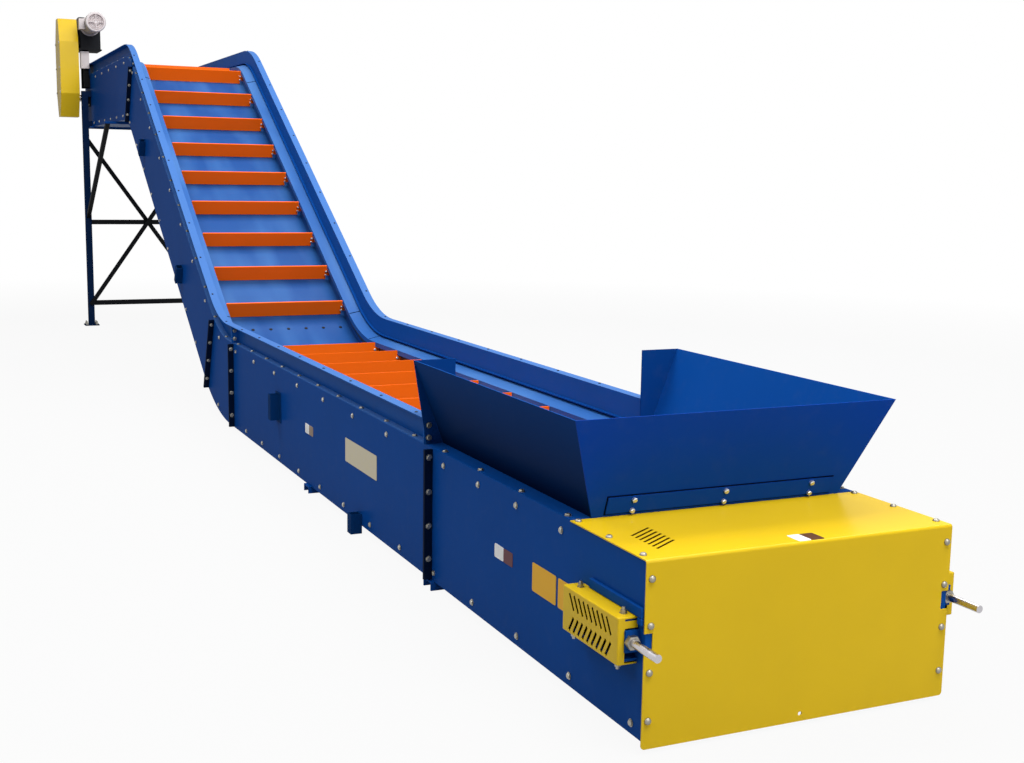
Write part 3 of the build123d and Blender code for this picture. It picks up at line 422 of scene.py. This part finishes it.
# the same enamel lies in the tube's own shade, so it looks darker
pocket_blue = enamel("blue enamel in a pocket", "#083468", rough=0.36, shine=0.05)
coat_nodes(pocket_blue, "stand_pockets")
pad_thick, pad_edge = 0.006, 0.002
pad_back, pad_front, pad_low, pad_high = 3.905, 4.015, 0.276, 0.452
pads = []
for sign in (-1, 1):
    left, right = sorted((sign * half_width, sign * (half_width + pad_thick)))
    pads.append(box("pad", (left, pad_back, pad_low), (right, pad_front, pad_high), pocket_blue, pad_edge))
pads = joined("pocket_pads", pads)
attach(pads, "conveyor")


# Trough bolts: zinc plated M12 hex bolts, a forged head on a pressed washer, hold
# the skirts' feet, the chain covers and the bottom pans, in rows at the pitches
# that the plates are drilled to; small dark ones close the skirts' tops.
def bare_steel(name, code, rough, grain_mm, stained=0.62):
    """Bare steel with fine tool marks and patches of old oil."""
    metal = bpy.data.materials.new(name)
    metal.use_nodes = True
    tree = metal.node_tree
    tree.nodes.clear()
    place = add_node(tree, "ShaderNodeTexCoord").outputs["Object"]
    # oil lies in patches of about 33 mm
    stain = add_node(tree, "ShaderNodeTexNoise", {"Scale": 30.0, "Detail": 5.0}, {"Vector": place})
    clean = linear(code)
    oiled = tuple(c * stained for c in clean[:3]) + (1.0,)
    body = add_node(
        tree, "ShaderNodeMix", {"data_type": "RGBA", 6: oiled, 7: clean}, {0: stain.outputs["Fac"]}
    )
    marks = add_node(tree, "ShaderNodeTexNoise", {"Scale": 1000 / grain_mm, "Detail": 2.0}, {"Vector": place})
    bump = add_node(
        tree, "ShaderNodeBump", {"Strength": 0.12, "Distance": 0.0003}, {"Height": marks.outputs["Fac"]}
    )
    dull = add_node(
        tree,
        "ShaderNodeMapRange",
        {"From Min": 0.3, "From Max": 0.7, "To Min": rough - 0.07, "To Max": rough + 0.1},
        {"Value": stain.outputs["Fac"]},
    )
    shell = add_node(
        tree,
        "ShaderNodeBsdfPrincipled",
        {"Metallic": 1.0},
        {"Base Color": body.outputs[2], "Roughness": dull.outputs[0], "Normal": bump.outputs[0]},
    )
    add_node(tree, "ShaderNodeOutputMaterial", {}, {"Surface": shell.outputs[0]})
    return metal


def head_from_tiers(name, tiers, sides, material):
    """Models a round or hexagonal head from tiers of (height, radius), standing on the origin."""
    bpy.ops.object.select_all(action="DESELECT")
    bpy.ops.mesh.primitive_circle_add(vertices=sides, radius=tiers[0][1], fill_type="NGON")
    piece = bpy.context.object
    piece.name = name
    bpy.ops.object.mode_set(mode="EDIT")
    bpy.ops.mesh.select_all(action="SELECT")
    height, radius = tiers[0]
    for next_height, next_radius in tiers[1:]:
        bpy.ops.mesh.extrude_region_move(TRANSFORM_OT_translate={"value": (0, 0, next_height - height)})
        if next_radius != radius:
            bpy.ops.transform.resize(value=(next_radius / radius, next_radius / radius, 1))
        height, radius = next_height, next_radius
    bpy.ops.mesh.select_all(action="SELECT")
    bpy.ops.mesh.normals_make_consistent(inside=False)
    bpy.ops.object.mode_set(mode="OBJECT")
    piece.data.materials.append(material)
    return piece


def row_of(name, pattern, places, body="conveyor"):
    """Copies a modelled head to each (point, normal) and rides the row on a body."""
    # each head was left turned by its spanner, half a radian on from its neighbour
    spanner_turn = 0.5
    copies = []
    for number, (point, normal) in enumerate(places):
        copy = pattern.copy()
        copy.data = pattern.data.copy()
        bpy.context.collection.objects.link(copy)
        stands = Vector((0, 0, 1)).rotation_difference(Vector(normal)).to_matrix().to_4x4()
        spun = Matrix.Rotation(spanner_turn * number, 4, "Z")
        copy.data.transform(Matrix.Translation(Vector(point)) @ stands @ spun)
        copies.append(copy)
    row = joined(name, copies)
    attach(row, body)
    return row


def trough_legs(first_y, last_y, depth):
    """The legs of a run at one depth: name, length, run at its start, run gained per metre."""
    hollow, crown = bend_radius + depth, knuckle_radius - depth
    return (
        ("level", bend_y - first_y, first_y, 1.0),
        ("bend", hollow * rise, 0.0, 1 / hollow),
        ("incline", incline_length, 0.0, 1.0),
        ("knuckle", crown * rise, rise, -1 / crown),
        ("head", last_y - knuckle_y, knuckle_y, 1.0),
    )


def spot_after(travel, legs, depth):
    """Point and slope at a distance along the legs."""
    for leg, length, start, gain in legs:
        if travel < length:
            break
        travel -= length
    return trough_spot(leg, start + travel * gain, depth)


row_end_gap = 0.060


def along_trough(first_y, pitch, depth):
    """Points and slopes at a pitch, from a place on the level run to near the head's end."""
    legs = trough_legs(first_y, head_end_y - row_end_gap, depth)
    count = math.ceil(sum(leg[1] for leg in legs) / pitch)
    return [spot_after(number * pitch, legs, depth) for number in range(count)]


def upright(slope):
    """The way that a sloping part of the trough faces up."""
    return (0, -math.sin(slope), math.cos(slope))


# zinc plate: a pale metal, slightly yellow, with a broken shine
zinc = bare_steel("zinc plated fastener", "#ABA89E", 0.36, 4.0)
# black oxide: near black, with a dull metallic shine
black_oxide = bare_steel("black oxide bolt", "#26272B", 0.45, 5.0)
washer_r, washer_thick = 0.0130, 0.0022
m12_r, m12_shoulder, m12_high, m12_top_share = 0.0105, 0.0053, 0.0075, 0.84
washer = head_from_tiers("washer", ((0, washer_r), (washer_thick, washer_r)), 14, zinc)
head = head_from_tiers(
    "head", ((0, m12_r), (m12_shoulder, m12_r), (m12_high, m12_r * m12_top_share)), 6, zinc
)
bolt = joined("bolt_pattern", [washer, head])
tiny_dark = head_from_tiers(
    "tiny_dark_pattern", ((0, 0.0070), (0.003, 0.0066), (0.0042, 0.0040)), 10, black_oxide
)

foot_bolt_x, skirt_top_x, head_cover_y = 0.556, 0.562, 11.84
tail_cover_z, tail_cover_places = 0.549, (0.296, 0.655, 0.999, 1.355)
for side, sign in (("left", -1), ("right", 1)):
    stops = along_trough(first_y=1.733, pitch=0.365, depth=0.109)
    feet = [((sign * foot_bolt_x, y, z), upright(slope)) for (y, z), slope in stops]
    row_of(f"skirt_foot_bolts_{side}", bolt, feet)
    stops = along_trough(first_y=2.054, pitch=0.4985, depth=0.160)
    sides = [((sign * half_width, y, z), (sign, 0, 0)) for (y, z), _ in stops]
    sides += [((sign * half_width, y, tail_cover_z), (sign, 0, 0)) for y in tail_cover_places]
    row_of(f"cover_bolts_{side}", bolt, sides)
    stops = along_trough(first_y=-0.199, pitch=0.4145, depth=0.636)
    edges = [((sign * half_width, y, z), (sign, 0, 0)) for (y, z), _ in stops]
    row_of(f"bottom_edge_bolts_{side}", bolt, edges)
    stops = along_trough(first_y=1.700, pitch=0.457, depth=0.0)
    tops = [((sign * skirt_top_x, y, z), upright(slope)) for (y, z), slope in stops if y <= head_cover_y]
    row_of(f"skirt_top_bolts_{side}", tiny_dark, tops)

# Splices: the lengths' end flanges are bolted face to face with the same zinc
# plated bolts. The skirts' end flanges stand higher and further in.
side_depth = 0.114
skirt_splice_x, skirt_splice_reach = 0.562, 0.005
plate_splice_x, plate_splice_reach = 0.589, 0.008
splice_y, hopper_head_y, bend_splice_y, bend_splice_turn = 1.485, 1.555, 5.120, math.radians(24.0)
SPLICES = (
    # leg, run, depths of the heads
    ("level", hopper_head_y, (0.030, 0.082)),
    ("level", splice_y, (0.150, 0.294, 0.439, 0.579)),
    ("level", bend_splice_y, (0.030, 0.082, 0.150, 0.294, 0.439, 0.589)),
    ("bend", bend_splice_turn, (0.150, 0.294, 0.439, 0.589)),
    ("incline", incline_length, (0.030, 0.082, 0.150, 0.294, 0.439, 0.589)),
)
for number, (leg, run, depths) in enumerate(SPLICES):
    heads = []
    for depth in depths:
        on_skirt = depth < side_depth
        x = skirt_splice_x if on_skirt else plate_splice_x
        reach = skirt_splice_reach if on_skirt else plate_splice_reach
        (y, z), slope = trough_spot(leg, run, depth)
        back = (0, -math.cos(slope), -math.sin(slope))
        heads += [((sign * x, y + back[1] * reach, z + back[2] * reach), back) for sign in (-1, 1)]
    row_of(f"splice_bolts_{number + 1}", bolt, heads)

# Pan bolts: two rows of black oxide countersunk bolts cross the pan where its
# sheets lap at the foot of the incline.
dark_head = head_from_tiers(
    "dark_bolt_pattern", ((0, 0.0125), (0.003, 0.0115), (0.0048, 0.0070)), 12, black_oxide
)
pan_depth, pan_row_half = 0.275, 0.39
PAN_LAPS = (
    # share of the hollow bend, bolts across
    (0.52, 6),
    (0.94, 7),
)
lap_bolts = []
for share, count in PAN_LAPS:
    (y, z), slope = trough_spot("bend", rise * share, pan_depth)
    for step in range(count):
        x = -pan_row_half + 2 * pan_row_half * step / (count - 1)
        lap_bolts.append(((x, y, z), upright(slope)))
row_of("pan_lap_bolts", dark_head, lap_bolts)

# Chain, wheels, shafts and rods: plate links and wheels cut from rolled steel,
# and turned shafts and rods with plated nuts, oiled and worn bright where they run.

# oiled rolled steel: dark, brownish, with a soft metallic shine
chain_steel = bare_steel("oiled chain steel", "#6A655E", 0.42, 8.0)
coat_nodes(chain_steel, "chain_left", "chain_right", "tail_wheels", "head_wheels")
# turned steel: bright and nearly white, with a sharper shine
turned_steel = bare_steel("turned steel", "#C9C6CA", 0.26, 3.0, stained=0.85)
coat_nodes(turned_steel, "tail_shaft", "head_shaft", "takeup_rods")
coat_nodes(zinc, "takeup_nuts")

# Flights: flat steel bars in orange enamel, bolted at both ends to lugs on every
# third link. The level run's bars sit a little further on, and none lies in the
# foot of the hollow bend.

# warm orange with a half gloss, and rust brown where it is soiled
orange = enamel("orange enamel", "#FF6A0C", rough=0.38, shine=0.2, soil="#8A4A20", soiled=0.05)
coat_nodes(orange, "flights")
# new zinc: white and even, so that the heads show as light dots
white_zinc = bare_steel("new zinc fastener", "#DADAD8", 0.45, 4.0, stained=0.9)
lug_head = head_from_tiers(
    "lug_bolt_pattern", ((0, 0.0085), (0.006, 0.0085), (0.0085, 0.0064)), 8, white_zinc
)
link_pitch, links_per_flight, pitch_radius = 0.1524, 3, 0.1524
shaft_depth, head_shaft_y = 0.365, 12.011
flight_plate, flight_phase, level_shift = 0.010, -0.009, 0.090
lug_bolt_x, lug_bolt_rises = 0.4275, (-0.020, 0.012)
strand_depth = shaft_depth - pitch_radius
strand_legs = trough_legs(0.0, head_shaft_y, strand_depth)
strand_length = sum(leg[1] for leg in strand_legs)
loop = 2 * strand_length + 2 * math.pi * pitch_radius
flight_count = round(loop / (links_per_flight * link_pitch))
flight_pitch = loop / flight_count
flight_heads = []
for number in range(flight_count):
    travel = flight_phase + flight_pitch / 6 + number * flight_pitch
    if travel < bend_y:
        travel += level_shift
    in_bend_foot = bend_y < travel < bend_y + flight_pitch
    if in_bend_foot or travel >= strand_length:
        continue
    (y, z), slope = spot_after(travel, strand_legs, strand_depth)
    back, raised = Vector((0, -math.cos(slope), -math.sin(slope))), Vector(upright(slope))
    for sign in (-1, 1):
        for high in lug_bolt_rises:
            point = Vector((sign * lug_bolt_x, y, z)) + back * flight_plate / 2 + raised * high
            flight_heads.append((point, back))
row_of("flight_bolts", lug_head, flight_heads)

# Hopper: flared steel plates welded at the corners and bolted down through a turned foot, in the trough's
# blue. The side walls' undersides carry painted shade: a near black laid over the blue, deepest low down.
wall_shade_code = "#06142E"
wall_blue = enamel("blue hopper wall enamel", "#0E4C9C", rough=0.30, shine=0.035)
tree = wall_blue.node_tree
facing = add_node(tree, "ShaderNodeNewGeometry").outputs["Normal"]
axes = add_node(tree, "ShaderNodeSeparateXYZ", {}, {"Vector": facing})
# painted shade: faces that point down turn towards the near black, more so low on the wall
underside = add_node(
    tree,
    "ShaderNodeMapRange",
    {"From Min": -0.30, "From Max": -0.05, "To Min": 1.0, "To Max": 0.0},
    {"Value": axes.outputs["Z"]},
)
place = add_node(tree, "ShaderNodeTexCoord").outputs["Object"]
height = add_node(tree, "ShaderNodeSeparateXYZ", {}, {"Vector": place})
low = add_node(
    tree,
    "ShaderNodeMapRange",
    {"From Min": 0.62, "From Max": 0.95, "To Min": 0.92, "To Max": 0.50},
    {"Value": height.outputs["Z"]},
)
thin_coat_and_shade = add_node(
    tree, "ShaderNodeMath", {"operation": "MULTIPLY"}, {0: underside.outputs[0], 1: low.outputs[0]}
)
tint_coat(wall_blue, wall_shade_code, thin_coat_and_shade.outputs[0])
coat_nodes(wall_blue, "hopper_wall_left", "hopper_wall_right")
# a purer blue, so that the yellow light off the guard below doesn't turn it green
tail_wall_blue = enamel("blue tail wall enamel", "#0A42AA", rough=0.30, shine=0.07)
coat_nodes(tail_wall_blue, "hopper_wall_tail")
# a darker, flatter blue on the wings, which stand in the walls' shade
wing_blue = enamel("blue hopper wing enamel", "#093A7C", rough=0.30, shine=0.04)
coat_nodes(wing_blue, "hopper_wings")
hopper_foot_z, hopper_plate, hopper_bolt_places = 0.596, 0.005, (0.280, 0.643, 1.013, 1.377)
foot_top = hopper_foot_z + hopper_plate
hopper_bolts = [
    ((sign * foot_bolt_x, y, foot_top), (0, 0, 1)) for sign in (-1, 1) for y in hopper_bolt_places
]
row_of("hopper_foot_bolts", bolt, hopper_bolts)

# Hopper strip: a steel strip held on the leaning tail wall by three pairs of new zinc bolts, over a slightly
# larger black sheet that shows all round it as a painted shade line.
hopper_tail_foot_y, tail_wall_rise, tail_wall_run, strip_plate = 0.232, 0.358, 0.128, 0.006
tail_wall_slope = math.atan(tail_wall_run / tail_wall_rise)


def tail_wall_y(z, proud):
    """Y of a point that stands proud of the hopper's tail wall at a height."""
    lean = (z - hopper_foot_z) * tail_wall_run / tail_wall_rise
    return hopper_tail_foot_y - lean - hopper_plate - proud


# painted shade: a black sheet just larger than the strip, lying under it
strip_shade_half, strip_shade_z, strip_shade_proud = (0.4550, 0.0008, 0.0360), 0.6410, 0.0009
strip_shade = box("hopper_strip_shade", [-half for half in strip_shade_half], strip_shade_half, gap_black)
strip_shade_place = Matrix.Translation((0, tail_wall_y(strip_shade_z, strip_shade_proud), strip_shade_z))
strip_shade.data.transform(strip_shade_place @ Matrix.Rotation(tail_wall_slope, 4, "X"))
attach(strip_shade, "conveyor")
strip_head = head_from_tiers(
    "strip_bolt_pattern", ((0, 0.0095), (0.008, 0.0095), (0.0105, 0.0074)), 6, white_zinc
)
tail_wall_out = Vector((0, -tail_wall_rise, -tail_wall_run)).normalized()
strip_bolt_places, strip_bolt_heights = (-0.354, 0.004, 0.360), (0.618, 0.657)
strip_bolts = [
    ((x, tail_wall_y(z, strip_plate), z), tail_wall_out)
    for x in strip_bolt_places
    for z in strip_bolt_heights
]
row_of("hopper_strip_bolts", strip_head, strip_bolts)

# Tail guard: one steel sheet folded over the tail, held by dome headed bolts down
# both edges and along the top's sides.

# safety yellow, a fresh and rather glossy enamel
yellow = enamel("yellow safety enamel", "#E0BB16", rough=0.24, shine=0.35, soil="#A98E2C", soiled=0.03)
coat_nodes(yellow, "tail_guard", "takeup_guards", "chain_guard")
# zinc, darker and greyer than the trough's bolts as painted shade on the domes, and duller
shaded_zinc = bare_steel("zinc fastener with painted shade", "#A39F94", 0.42, 4.0)
dome_tiers = (
    (0, 0.0115),
    (0.0015, 0.0115),
    (0.0045, 0.0107),
    (0.0072, 0.0082),
    (0.0086, 0.0046),
    (0.0090, 0.0015),
)
dome = head_from_tiers("dome_pattern", dome_tiers, 16, shaded_zinc)
bpy.ops.object.select_all(action="DESELECT")
dome.select_set(True)
bpy.context.view_layer.objects.active = dome
bpy.ops.object.shade_smooth_by_angle(angle=math.radians(50))
guard_front_y, guard_top_z = -0.270, 0.600
guard_bolt_heights, guard_bolt_places = (0.543, 0.399, 0.254, 0.104), (0.205, -0.003, -0.214)
guard_bolts = [
    ((sign * foot_bolt_x, guard_front_y, z), (0, -1, 0)) for sign in (-1, 1) for z in guard_bolt_heights
]
guard_bolts += [
    ((sign * foot_bolt_x, y, guard_top_z), (0, 0, 1)) for sign in (-1, 1) for y in guard_bolt_places
]
row_of("tail_guard_bolts", dome, guard_bolts)

# Vents: seven leaning slots are punched in the guard's top, and thin near-black plates lie in them, nearly
# flush with the sheet, as painted shade.

# painted shade in the slots: a flat dark brown, from the yellow round it
vent_shade_black = enamel("painted vent shade", "#3A2A08", rough=0.7, shine=0.0, peel=0.0, soiled=0.0)
vent_half, vent_count, vent_pitch, vent_lean = (0.0595, 0.0039, 0.0015), 7, 0.0258, math.radians(33.8)
vent_x, vent_back_y, vent_z = -0.432, 0.020, 0.5990
vents = []
for number in range(vent_count):
    vent = box("vent", [-half for half in vent_half], vent_half, vent_shade_black)
    vent_place = Matrix.Translation((vent_x, vent_back_y - vent_pitch * number, vent_z))
    vent.data.transform(vent_place @ Matrix.Rotation(vent_lean, 4, "Z"))
    vents.append(vent)
vents = joined("guard_vent_shade", vents)
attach(vents, "conveyor")


# Take-up covers: one folded yellow steel sheet over each take-up, with two rows of leaning slots cut through
# it, a near-black sheet of painted shade behind them, and a front that is open beside the rod but for a tab
# near the top.
def cut(piece, tool):
    """Cuts a tool out of a piece and removes the tool."""
    bpy.ops.object.select_all(action="DESELECT")
    piece.select_set(True)
    bpy.context.view_layer.objects.active = piece
    change = piece.modifiers.new("cut", "BOOLEAN")
    change.operation, change.object, change.solver = "DIFFERENCE", tool, "EXACT"
    bpy.ops.object.modifier_apply(modifier="cut")
    bpy.data.objects.remove(tool)


cover_front, cover_back, cover_low, cover_high = -0.226, 0.136, 0.271, 0.419
cover_face, cover_sheet, cover_fold, cover_gap = 0.641, 0.0016, 0.004, 0.0005
inside_x = half_width - 0.020
mouth_x, mouth_half, mouth_edge, tab_low, tab_high = 0.617, 0.010, 0.006, 0.384, 0.406
slot_count, slot_pitch, slot_first_y = 9, 0.0304, -0.168
slot_half = (0.0200, 0.0058, 0.0290)
SLOT_ROWS = (
    # height, lean across for each unit up
    (0.378, 0.64),
    (0.306, -0.62),
)
slot_shade_x, slot_shade_sheet, slot_shade_front, slot_shade_back = 0.6248, 0.0014, -0.190, 0.128
slot_shade_low, slot_shade_high = 0.281, 0.407
# shade behind the slots: a flat brownish black
slot_black = enamel("painted slot shade", "#150F06", rough=0.7, shine=0.0, peel=0.0, soiled=0.0)
takeup_covers = []
for sign in (-1, 1):
    left, right = sorted((sign * (half_width + cover_gap), sign * cover_face))
    cover = box("cover", (left, cover_front, cover_low), (right, cover_back, cover_high), yellow, cover_fold)
    left, right = sorted((sign * inside_x, sign * (cover_face - cover_sheet)))
    low_corner = (left, cover_front + cover_sheet, cover_low + cover_sheet)
    cut(cover, box("hollow", low_corner, (right, cover_back - cover_sheet, cover_high - cover_sheet), yellow))
    left, right = sorted((sign * inside_x, sign * mouth_x))
    front, back = cover_front - mouth_half, cover_front + mouth_half
    for low, high in ((cover_low + mouth_edge, tab_low), (tab_high, cover_high - mouth_edge)):
        cut(cover, box("mouth", (left, front, low), (right, back, high), yellow))
    slots = []
    for row_z, row_lean in SLOT_ROWS:
        for number in range(slot_count):
            slot = box("slot", [-half for half in slot_half], slot_half, vent_shade_black)
            slot_place = Matrix.Translation((sign * cover_face, slot_first_y + slot_pitch * number, row_z))
            slot.data.transform(slot_place @ Matrix.Rotation(-math.atan(row_lean), 4, "X"))
            slots.append(slot)
    cut(cover, joined("slots", slots))
    takeup_covers.append(cover)
    # painted shade: a thin near-black sheet just inside each cover's slots
    left, right = sorted((sign * slot_shade_x, sign * (slot_shade_x + slot_shade_sheet)))
    slot_shade = box("slot_shade", (left, slot_shade_front, slot_shade_low), (right, slot_shade_back, slot_shade_high), slot_black)
    takeup_covers.append(slot_shade)
takeup_covers = joined("takeup_covers", takeup_covers)
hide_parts("takeup_guards")
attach(takeup_covers, "conveyor")

# Take-up rails: a blue steel bar welded along each side plate just above the
# cover, with a short end piece below its front.
rail_x, rail_front, rail_back, rail_low, rail_high = 0.584, -0.262, 0.070, 0.4205, 0.452
end_back, end_low, end_high, rail_edge = -0.236, 0.398, 0.4195, 0.003
rails = []
for sign in (-1, 1):
    left, right = sorted((sign * half_width, sign * rail_x))
    rails.append(box("rail", (left, rail_front, rail_low), (right, rail_back, rail_high), blue, rail_edge))
    rails.append(box("rail_end", (left, rail_front, end_low), (right, end_back, end_high), blue, rail_edge))
rails = joined("takeup_rails", rails)
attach(rails, "conveyor")

# Cover studs: zinc plated studs with washers and nuts, two above and two below,
# clamp each take-up cover.
stud_tiers = (
    (0, 0.0125),
    (0.0025, 0.0125),
    (0.0025, 0.0100),
    (0.0120, 0.0100),
    (0.0120, 0.0060),
    (0.0200, 0.0060),
)
stud = head_from_tiers("stud_pattern", stud_tiers, 6, zinc)
upper_stud_x, upper_stud_places = 0.602, (-0.188, 0.090)
lower_stud_x, lower_stud_places = 0.622, (-0.196, 0.090)
studs = [((sign * upper_stud_x, y, cover_high), (0, 0, 1)) for sign in (-1, 1) for y in upper_stud_places]
studs += [((sign * lower_stud_x, y, cover_low), (0, 0, -1)) for sign in (-1, 1) for y in lower_stud_places]
row_of("takeup_cover_studs", stud, studs)

# Stand: posts of square steel tube in dark blue with black flat braces, cross
# bars and knees; four zinc plated anchor bolts hold each base plate to the floor.

# dark blue, nearly black in the shade under the trough
leg_blue = enamel("dark blue leg enamel", "#0C2448", rough=0.40, shine=0.05)
coat_nodes(leg_blue, "leg_")
# black enamel: a half gloss under brown dust
black = enamel("black enamel", "#0E1014", rough=0.42, shine=0.15, soil="#55524C", soiled=0.05)
coat_nodes(black, "stand_braces", "stand_cross_bars", "knee_braces")
leg_x, leg_y, base_plate, anchor_half_pitch = 0.640, 11.884, 0.012, 0.0525
anchor_tiers = (
    (0, 0.017),
    (0.003, 0.017),
    (0.003, 0.0130),
    (0.016, 0.0130),
    (0.016, 0.008),
    (0.034, 0.008),
    (0.036, 0.006),
)
anchor = head_from_tiers("anchor_pattern", anchor_tiers, 6, zinc)
anchors = [
    ((sign * leg_x + dx, leg_y + dy, base_plate), (0, 0, 1))
    for sign in (-1, 1)
    for dx in (-anchor_half_pitch, anchor_half_pitch)
    for dy in (-anchor_half_pitch, anchor_half_pitch)
]
row_of("anchor_bolts", anchor, anchors)

# Head: a low black cover, the end plate and the cast bearing housings, all bolted
# on with zinc plated heads.

# cast iron under dark grey enamel: dull, with a coarse skin
cast = enamel("dark grey cast housing", "#1B1D22", rough=0.55, shine=0.2, peel=0.5)
coat_nodes(cast, "head_bearings", "takeup_bearings")
coat_nodes(black, "head_cover")
small_head = head_from_tiers("small_bolt_pattern", ((0, 0.0085), (0.004, 0.0085), (0.0055, 0.0068)), 6, zinc)
head_cover_sheet, end_plate = 0.005, 0.006
cover_top, cover_bolt_places = head_top + head_cover_sheet, (11.920, 12.110, 12.300)
cover_heads = [((sign * skirt_top_x, y, cover_top), (0, 0, 1)) for sign in (-1, 1) for y in cover_bolt_places]
row_of("head_cover_bolts", small_head, cover_heads)
end_face_y, end_bolt_x = head_end_y + end_plate, 0.545
end_bolt_heights, end_bolt_places = (2.230, 2.416, 2.602, 2.788), (-0.272, 0.0, 0.272)
end_heads = [((sign * end_bolt_x, end_face_y, z), (0, 1, 0)) for sign in (-1, 1) for z in end_bolt_heights]
top_and_foot = (end_bolt_heights[0], end_bolt_heights[-1])
end_heads += [((x, end_face_y, z), (0, 1, 0)) for x in end_bolt_places for z in top_and_foot]
row_of("end_plate_bolts", bolt, end_heads)
bearing_face_x, head_shaft_z, bearing_bolt = 0.587, head_top - shaft_depth, 0.062
bearing_heads = [
    ((sign * bearing_face_x, head_shaft_y + dy, head_shaft_z + dz), (sign, 0, 0))
    for sign in (-1, 1)
    for dy in (-bearing_bolt, bearing_bolt)
    for dz in (-bearing_bolt, bearing_bolt)
]
row_of("head_bearing_bolts", bolt, bearing_heads)

# Drive: a light grey motor with its fan cowl and switch box on a black steel
# pedestal, a cast reducer, and the yellow chain guard bolted over the chain.

# light grey enamel: a clean, warm grey with a soft shine
grey = enamel("light grey enamel", "#D6CECE", rough=0.42, shine=0.3)
coat_nodes(grey, "motor", "switch_box", "fan_cowl")
coat_nodes(cast, "reducer")
coat_nodes(black, "drive_pedestal")
chain_guard_x, chain_guard_bolt, chain_guard_heights = -0.890, 0.172, (2.540, 2.800, 3.060)
guard_heads = [
    ((chain_guard_x, head_shaft_y + dy, z), (-1, 0, 0))
    for dy in (-chain_guard_bolt, chain_guard_bolt)
    for z in chain_guard_heights
]
row_of("chain_guard_bolts", bolt, guard_heads)

# Fan grille: four rings of steel wire, welded over the openings of the fan cowl
# and enamelled with it.

# a darker grey than the motor's, since thin wires catch little light
grille_enamel = enamel("fan grille enamel", "#B9A6A6", rough=0.45, shine=0.2)
motor_x, motor_z, cowl_front_y, wire_r, wire_proud = -0.562, 3.250, 11.380, 0.0022, 0.001
ring_radii = (0.020, 0.040, 0.060, 0.078)
wires = []
for ring_r in ring_radii:
    bpy.ops.object.select_all(action="DESELECT")
    bpy.ops.mesh.primitive_torus_add(
        major_radius=ring_r, minor_radius=wire_r, major_segments=40, minor_segments=6
    )
    wire = bpy.context.object
    wire_place = Matrix.Translation((motor_x, cowl_front_y - wire_proud, motor_z))
    wire.data.transform(wire_place @ Matrix.Rotation(math.radians(90), 4, "X"))
    wire.data.materials.append(grille_enamel)
    wires.append(wire)
wires = joined("fan_grille", wires)
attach(wires, "conveyor")


# Plates and labels: a thin aluminium plate and vinyl labels with rounded corners,
# all plain, riveted or stuck to the near side and to the tail guard.
def vinyl(name, code):
    """Vinyl film: smooth, in one colour, with a soft sheen."""
    return enamel(name, code, rough=0.42, shine=0.3, peel=0.02, soiled=0.03)


def blank_plate(name, centre, normal, width, height, material, slot):
    """A flat plate 1.5 mm thick whose corners are rounded."""
    plate_thick, corner = 0.0015, 0.006
    bpy.ops.object.select_all(action="DESELECT")
    bpy.ops.mesh.primitive_plane_add(size=1.0)
    plate = bpy.context.object
    bpy.ops.object.mode_set(mode="EDIT")
    bpy.ops.mesh.select_all(action="SELECT")
    bpy.ops.transform.resize(value=(width, height, 1))
    bpy.ops.mesh.bevel(offset=corner, segments=3, affect="VERTICES")
    bpy.ops.mesh.select_all(action="SELECT")
    bpy.ops.mesh.extrude_region_move(TRANSFORM_OT_translate={"value": (0, 0, plate_thick)})
    bpy.ops.mesh.select_all(action="SELECT")
    bpy.ops.mesh.normals_make_consistent(inside=False)
    bpy.ops.object.mode_set(mode="OBJECT")
    out = Vector(normal)
    across = Vector((0, 0, 1)).cross(out) if abs(out.z) < 0.5 else Vector((1, 0, 0))
    turn = Matrix((across, out.cross(across), out)).transposed().to_4x4()
    plate.data.transform(Matrix.Translation(Vector(centre)) @ turn)
    plate.name = name
    plate.data.materials.append(material)
    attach(plate, "conveyor")


# anodised aluminium: a pale, warm metal with an even satin
plate_metal = bare_steel("anodised plate", "#B7AE93", 0.38, 6.0)
# vinyl films, each flat and even: clean white, brown, warm amber, tan, dull red
white_vinyl = vinyl("white vinyl", "#F6F6F4")
brown_vinyl = vinyl("brown vinyl", "#5B3A22")
amber_vinyl = vinyl("amber vinyl", "#F0B636")
tan_vinyl = vinyl("tan vinyl", "#9A8676")
red_vinyl = vinyl("dark red vinyl", "#6A4248")
near, upward, side_x, top_z = (-1, 0, 0), (0, 0, 1), -half_width, guard_top_z
BLANKS = (
    # name, centre, normal, width, height, finish, slot
    ("blank_maker_plate", (side_x, 2.431, 0.364), near, 0.480, 0.118, plate_metal, "bright_steel"),
    ("blank_side_label_1_white", (side_x, 3.356, 0.343), near, 0.076, 0.052, white_vinyl, "motor_grey"),
    ("blank_side_label_1_dark", (side_x, 3.281, 0.343), near, 0.074, 0.052, tan_vinyl, "brace_dark"),
    ("blank_side_label_2_white", (side_x, 0.796, 0.340), near, 0.080, 0.052, white_vinyl, "motor_grey"),
    ("blank_side_label_2_dark", (side_x, 0.716, 0.340), near, 0.080, 0.052, red_vinyl, "brace_dark"),
    ("blank_tail_label_1", (side_x, 0.418, 0.331), near, 0.184, 0.102, amber_vinyl, "guard_yellow"),
    ("blank_tail_label_2", (side_x, 0.226, 0.331), near, 0.166, 0.102, amber_vinyl, "guard_yellow"),
    ("blank_guard_label_white", (-0.003, -0.225, top_z), upward, 0.046, 0.070, white_vinyl, "motor_grey"),
    ("blank_guard_label_dark", (0.046, -0.225, top_z), upward, 0.050, 0.070, brown_vinyl, "brace_dark"),
)
for blank in BLANKS:
    blank_plate(*blank)

# the heads that the rows were copied from are no part of the conveyor
for pattern in (bolt, tiny_dark, dark_head, lug_head, strip_head, dome, stud, anchor, small_head):
    bpy.data.objects.remove(pattern)
